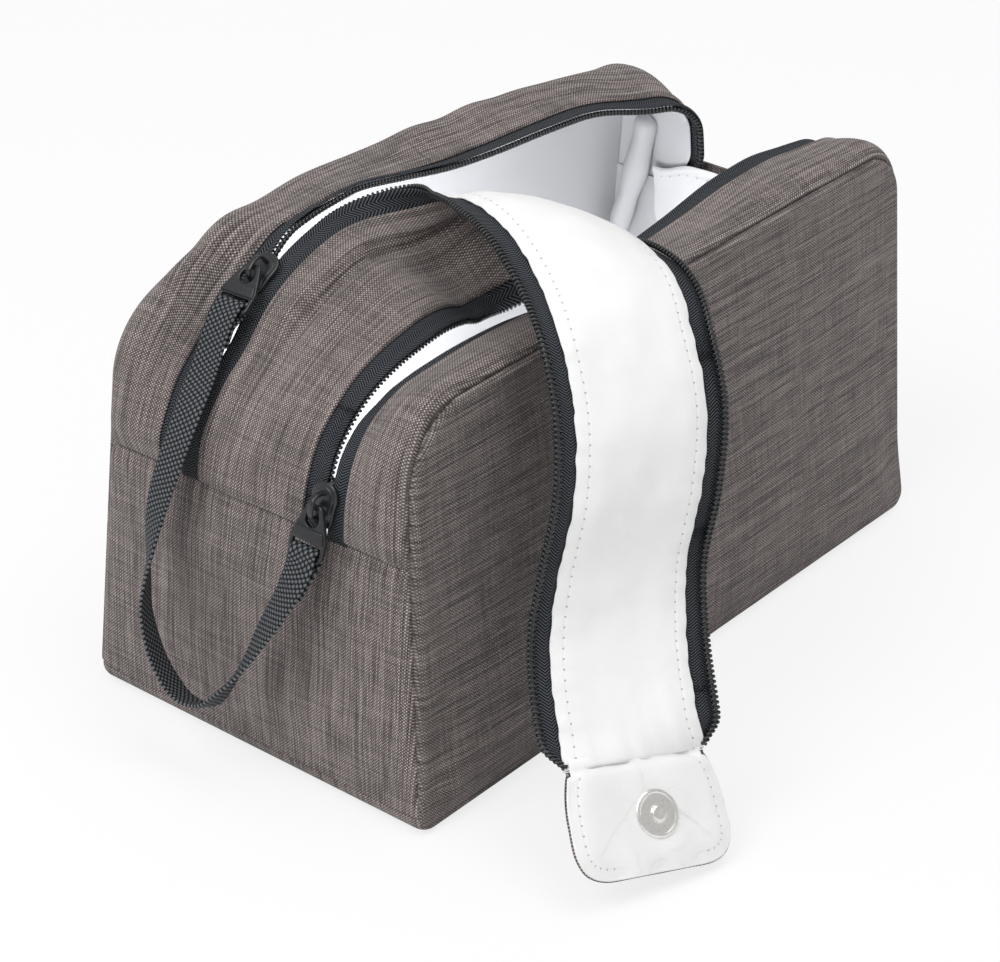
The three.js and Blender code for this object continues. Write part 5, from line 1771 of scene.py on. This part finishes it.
    def _pull(self) -> None:
        """The pull: a rounded triangle with a hole, a raised crossbar and a slot for the webbing."""
        side = self.pull_width / 2
        corners = np.array([
            [-self.pull_top / 2 + 0.9 * MM, 0], [-self.pull_top / 2, 0.7 * MM], [-side, 9.2 * MM],
            [-side, self.pull_length - 1.4 * MM], [-side + 1.2 * MM, self.pull_length],
        ])
        half = rounded(corners, 0.7 * MM)
        outer = np.concatenate([half, (half * [-1, 1])[::-1]])
        angle = turns(32)
        hole = np.stack([np.cos(angle), np.sin(angle)], 1) * self.hole + [0, self.hole + self.bar]
        foot = self.pull_length - self.bar
        slot = four_sided(self.slot_width / 2, self.slot_width / 2, foot - self.slot, foot, 0.6 * MM)
        plate = flat_plate(
            f"{self.name}_pull_plate", [outer, hole, slot], self.pull_thick, 0.32 * MM, self.pull_axes,
            self.top,
        )
        place_piece(plate, "handle", "black_metal", f"{self.name}_pull")
        raised = four_sided(side - 1.4 * MM, side - 0.1 * MM, *self.crossbar, 0.5 * MM)
        place = self.top + self.pull_axes[2] * self.face_sign * 0.55 * MM
        bar = flat_plate(
            f"{self.name}_pull_crossbar", [raised], 1.5 * MM, 0.35 * MM, self.pull_axes, place
        )
        place_piece(bar, "handle", "black_metal")


def rounded(corners: Array, radius: float) -> Array:
    """A path with each inner corner cut by a small curve."""
    before = unit(corners[:-2] - corners[1:-1]) * radius
    after = unit(corners[2:] - corners[1:-1]) * radius
    t = np.linspace(0, 1, 5)[None, :, None]
    at = corners[1:-1, None]
    bends = (1 - t) ** 2 * (at + before[:, None]) + 2 * t * (1 - t) * at + t**2 * (at + after[:, None])
    return np.concatenate([corners[:1], bends.reshape(-1, 2), corners[-1:]])


def four_sided(low_half: float, high_half: float, low: float, high: float, radius: float) -> Array:
    """A closed four-sided outline with rounded corners, from its half widths at two heights."""
    box = np.array([[-low_half, low], [low_half, low], [high_half, high], [-high_half, high]])
    return rounded(np.concatenate([box, box[:2]]), radius)[2:-2]


WEBBING_SHARES = (
    ((0.1216, 0.1978, 0.8821), (0, -1, 0)),
    ((0.0381, 0.1725, 0.8142), (0, -1, 0)),
    ((-0.0201, 0.1775, 0.709), (-0.05, -1, 0.05)),
    ((-0.0516, 0.1935, 0.6075), (-0.2, -0.95, 0.1)),
    ((-0.0761, 0.1971, 0.5149), (-0.45, -0.8, 0.35)),
    ((-0.0904, 0.1978, 0.4433), (-0.66, -0.55, 0.5)),
    ((-0.106, 0.192, 0.3537), (-0.8, -0.35, 0.5)),
    ((-0.1141, 0.1493, 0.2433), (-0.88, -0.15, 0.45)),
    ((-0.1164, 0.0812, 0.1828), (-0.9, 0, 0.42)),
    ((-0.1134, 0.0167, 0.1881), (-0.9, 0, 0.4)),
    ((-0.1083, -0.0384, 0.25), (-0.88, -0.2, 0.25)),
    ((-0.0962, -0.0848, 0.3269), (-0.8, -0.5, 0)),
    ((-0.0783, -0.1348, 0.4276), (-0.6, -0.75, -0.2)),
    ((-0.0589, -0.1841, 0.5284), (-0.35, -0.9, -0.2)),
)


@dataclass
class Handle:
    """The webbing between the pulls, its ends folded round the pulls' feet and sewn back."""

    back: Slider
    front: Slider
    width: float = 10 * MM
    thick: float = 1.4 * MM
    lead: float = 6 * MM
    loop_radius: float = 1.75 * MM
    doubled: float = 13.5 * MM
    rib: float = 1.75 * MM

    def build(self) -> None:
        """Makes the webbing as one closed strap from one sewn end to the other."""
        shares = np.array([row[0] for row in WEBBING_SHARES])
        scale = [OUTLINE.height, OUTLINE.base_width, OUTLINE.height]
        middle = shares * scale - [OUTLINE.near_reach, 0, 0]
        above = self.back.pull_thick / 2 + 0.3 * MM + self.thick / 2
        ends = [s.webbing_at(d, above) for s in (self.back, self.front) for d in (1.75 * MM, self.lead)]
        places = np.concatenate([ends[:2], middle, ends[:1:-1]])
        level = [(0, -1, 0)] * 2
        wide = np.array([*level, *(row[1] for row in WEBBING_SHARES), *level], float)
        path, across, _ = ribbon_line(places, wide, 2400)
        count = int(lengths(path)[-1] / (0.4 * MM))
        at = np.linspace(0, lengths(path)[-1], count)
        across = resample(path, at, across)
        path = resample(path, at)
        start = self._fold(path, across, self.back)
        stop = self._fold(path[::-1], across[::-1], self.front)
        path = np.concatenate([start[0][::-1], path, stop[0]])
        across = np.concatenate([start[1][::-1], across, stop[1]])
        total = lengths(path)
        at = np.linspace(0, total[-1], int(total[-1] / (0.35 * MM)))
        across = resample(path, at, across)
        path = resample(path, at)
        ripple = np.sin(at * (4 * math.pi / self.rib)) * 0.1 * MM
        thick = self.thick
        sewn = lengths(start[0])[-1] + self.doubled - 1.8 * MM
        for place in (sewn, total[-1] - sewn):
            thick = thick + 0.8 * MM * bell(at, place, 0.9 * MM) - 0.5 * MM * bell(at, place, 0.3 * MM)
        taper = rim_profile(at, 0.8 * MM)
        piece = strap(
            "handle_strap", path, across, (self.width + ripple) * np.maximum(taper, 0.6),
            thick * np.maximum(taper, 0.3), (0.3, 0.75), Finish.WEBBING,
        )
        place_piece(piece, "handle", "webbing", "handle_webbing")

    def _fold(self, path: Array, across: Array, slider: Slider) -> tuple[Array, Array]:
        """The folded end: through the slot, round the pull's foot and back along the strap.

        Args:
            path: the strap's line, from this end.
            across: its directions across.
            slider: whose pull the end is folded round.

        Returns:
            The folded end's line from the strap's own end outwards, and its directions across.
        """
        along = unit(np.gradient(path, axis=0))
        normal = unit(np.cross(along, across))
        face = slider.pull_axes[2] * slider.face_sign
        normal = normal * np.sign(np.dot(normal[0], face))
        run = lengths(path)
        r = self.loop_radius
        angle = np.linspace(0, math.pi, 16)[1:]
        past = r * (1 - np.sin(angle))
        under = r * (1 - np.cos(angle))
        arc = np.array([slider.webbing_at(p, 1.75 * MM - u) for p, u in zip(past, under)])
        back = np.linspace(0.8 * MM, self.doubled, 40)
        drop = 1.5 * MM + (2 * r - 1.5 * MM) * (1 - smooth_step((back - 1.2 * MM) / (6.5 * MM)))
        returned = resample(path, back) - resample(path, back, normal) * drop[:, None]
        line = np.concatenate([arc, returned])
        wide = np.concatenate([np.repeat(across[:1], len(arc), 0), resample(path, back, across)])
        return line, wide


# Studio


@dataclass(frozen=True)
class Studio:
    """A pale floor, soft lamps and the camera at the photograph's angle."""

    target: tuple = (-0.1016, -0.0774, 0.1133)
    azimuth: float = -50.19
    elevation: float = 29.97
    distance: float = 0.9
    lens: float = 116.03
    lamps: tuple = (
        ("key_lamp", (-1.0, 0.1, 1.3), 0.9, 11.5),
        ("top_lamp", (0.05, -0.4, 1.6), 0.8, 7.2),
    )
    inner_place: tuple = (-0.03, -0.02, 0.072)
    inner_power: float = 0.42
    floor_size: float = 6.0
    surround: float = 0.56
    floor_glow: float = 0.78

    def camera(self) -> None:
        """Places the camera on the photograph's line of sight."""
        a, e = math.radians(self.azimuth), math.radians(self.elevation)
        back = np.array([math.sin(a) * math.cos(e), -math.cos(a) * math.cos(e), math.sin(e)])
        data = bpy.data.cameras.new("photo_camera")
        data.lens = self.lens
        data.sensor_width = 36.0
        data.clip_start = 0.01
        obj = linked("photo_camera", data)
        obj.location = np.array(self.target) + back * self.distance
        obj.rotation_euler = Vector(-back).to_track_quat("-Z", "Y").to_euler()
        bpy.context.scene.camera = obj

    def lamp(self, name: str, place: tuple, size: float, power: float) -> None:
        """A square soft lamp that faces the bag."""
        data = bpy.data.lights.new(name, "AREA")
        data.size = size
        data.energy = power
        obj = linked(name, data)
        obj.location = place
        aim = Vector((0, 0, 0.08)) - Vector(place)
        obj.rotation_euler = aim.to_track_quat("-Z", "Y").to_euler()

    def inner_lamp(self) -> None:
        """A small soft lamp inside the bag, unseen, that lights its linings evenly."""
        data = bpy.data.lights.new("inner_lamp", "POINT")
        data.shadow_soft_size = 0.02
        data.energy = self.inner_power
        obj = linked("inner_lamp", data)
        obj.location = self.inner_place
        obj.visible_camera = False
        obj.visible_glossy = False

    def world(self) -> None:
        """A white surround: plain to the eye and in gloss, softer as light."""
        paint = Paint("studio_world", bpy.data.worlds)
        bpy.context.scene.world = paint.block
        light, seen = (
            paint.add("ShaderNodeBackground", {"Color": (1, 1, 1, 1), "Strength": strength})
            for strength in (self.surround, 1.0)
        )
        path = paint.add("ShaderNodeLightPath")
        paint.split("ShaderNodeOutputWorld", path.outputs["Is Camera Ray"], light, seen)

    def floor(self) -> None:
        """A pale floor that keeps the bag's soft shadow and looks white beyond it."""
        half = self.floor_size / 2
        mesh = bpy.data.meshes.new("studio_floor")
        corners = [(-half, -half, 0), (half, -half, 0), (half, half, 0), (-half, half, 0)]
        mesh.from_pydata(corners, [], [(0, 1, 2, 3)])
        obj = linked("studio_floor", mesh)
        paint = Paint("floor_white")
        matte = paint.add("ShaderNodeBsdfDiffuse", {"Color": (0.9, 0.9, 0.9, 1)})
        glow = paint.add("ShaderNodeEmission", {"Color": (1, 1, 1, 1), "Strength": 1.0})
        path = paint.add("ShaderNodeLightPath")
        seen = Value(paint, path.outputs["Is Camera Ray"]) * self.floor_glow
        paint.split("ShaderNodeOutputMaterial", seen, matte, glow)
        mesh.materials.append(paint.block)

    def build(self) -> None:
        """Sets up the view, the lamps and the floor."""
        bpy.context.scene.view_settings.view_transform = "Standard"
        self.camera()
        self.world()
        self.floor()
        for row in self.lamps:
            self.lamp(*row)
        self.inner_lamp()


def dress_frame(frame: dict) -> None:
    """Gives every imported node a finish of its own.

    Args:
        frame: what the frame's load gave.
    """
    finishes = {
        "foam": Finish.FOAM, "board": Finish.BOARD, "black_metal": Finish.METAL,
        # The shell fabric takes the side cloth, whose darker pale yarn is painted shade.
        "nickel": Finish.NICKEL, "shell_fabric": Finish.SIDE_CLOTH, "zip_tape": Finish.TAPE,
        "zip_coil": Finish.COIL, "grey_lining": Finish.GREY_LINING,
        "white_lining": Finish.WHITE_LINING, "webbing": Finish.WEBBING,
    }
    slots = {row["node"]: row["material_slot"] for row in frame["record"]["subparts"]}
    for name, obj in frame["nodes"].items():
        obj.data.materials.clear()
        obj.data.materials.append(finishes[slots[name]].material())


SEWN_SHEETS = (
    ("flap_cloth", 42, 323, "hung"),
    ("flap_white_lining", 42, 323, "hung"),
    ("tab_cloth", 54, 32, "hung"),
    ("tab_white_lining", 54, 32, "hung"),
    ("front_strip_cloth", 25, 305, "stretched"),
    ("back_strip_cloth", 30, 305, "stretched"),
    ("front_strip_lining_cloth", 21, 305, "stretched"),
    ("back_strip_lining_cloth", 25, 305, "stretched"),
    ("near_end_lining_cloth", 128, 79, "stretched"),
    ("far_end_lining_cloth", 128, 86, "stretched"),
    ("base_lining_cloth", 129, 243, "stretched"),
    ("front_side_lining", 130, 250, "stretched"),
    ("back_side_lining", 130, 250, "stretched"),
    ("far_tongue_cloth", 49, 21, "stretched"),
    ("far_tongue_lining", 76, 42, "stretched"),
)


def declare_soft_pieces() -> None:
    """Logs each sheet of cloth's cut size, in mm, and how it is held."""
    for name, wide, long, held in SEWN_SHEETS:
        log.info("%s is cut %d by %d mm and %s", name, wide, long, held)


def main() -> None:
    """Builds the bag around the frame."""
    logging.basicConfig(level=logging.INFO, format="%(message)s")
    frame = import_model()
    Studio().build()
    SoftBox().build()
    front = TopStrip("front", -1, FRONT_LIFT_SHARES, 11)
    back = TopStrip("back", 1, BACK_LIFT_SHARES, 17, BACK_SWELL_STEPS, 12.5 * MM)
    flap = Flap()
    for part in (front, back, flap, Tab(flap)):
        part.build()
    top_start = OUTLINE.near_run(OUTLINE.seam_height)
    back_distance = OUTLINE.arc_runs[1][1] - top_start + 2.3 * MM
    back_slider = Slider("back", back, flap.edge(-1), back_distance, (-0.77, -0.03, -0.64))
    front_slider = Slider("front", front, flap.edge(1), 10.5 * MM, (-0.33, 0.02, -0.944))
    back_slider.build("back_slider")
    front_slider.build("front_slider")
    Handle(back_slider, front_slider).build()
    dress_frame(frame)
    declare_soft_pieces()


if __name__ == "__main__":
    main()
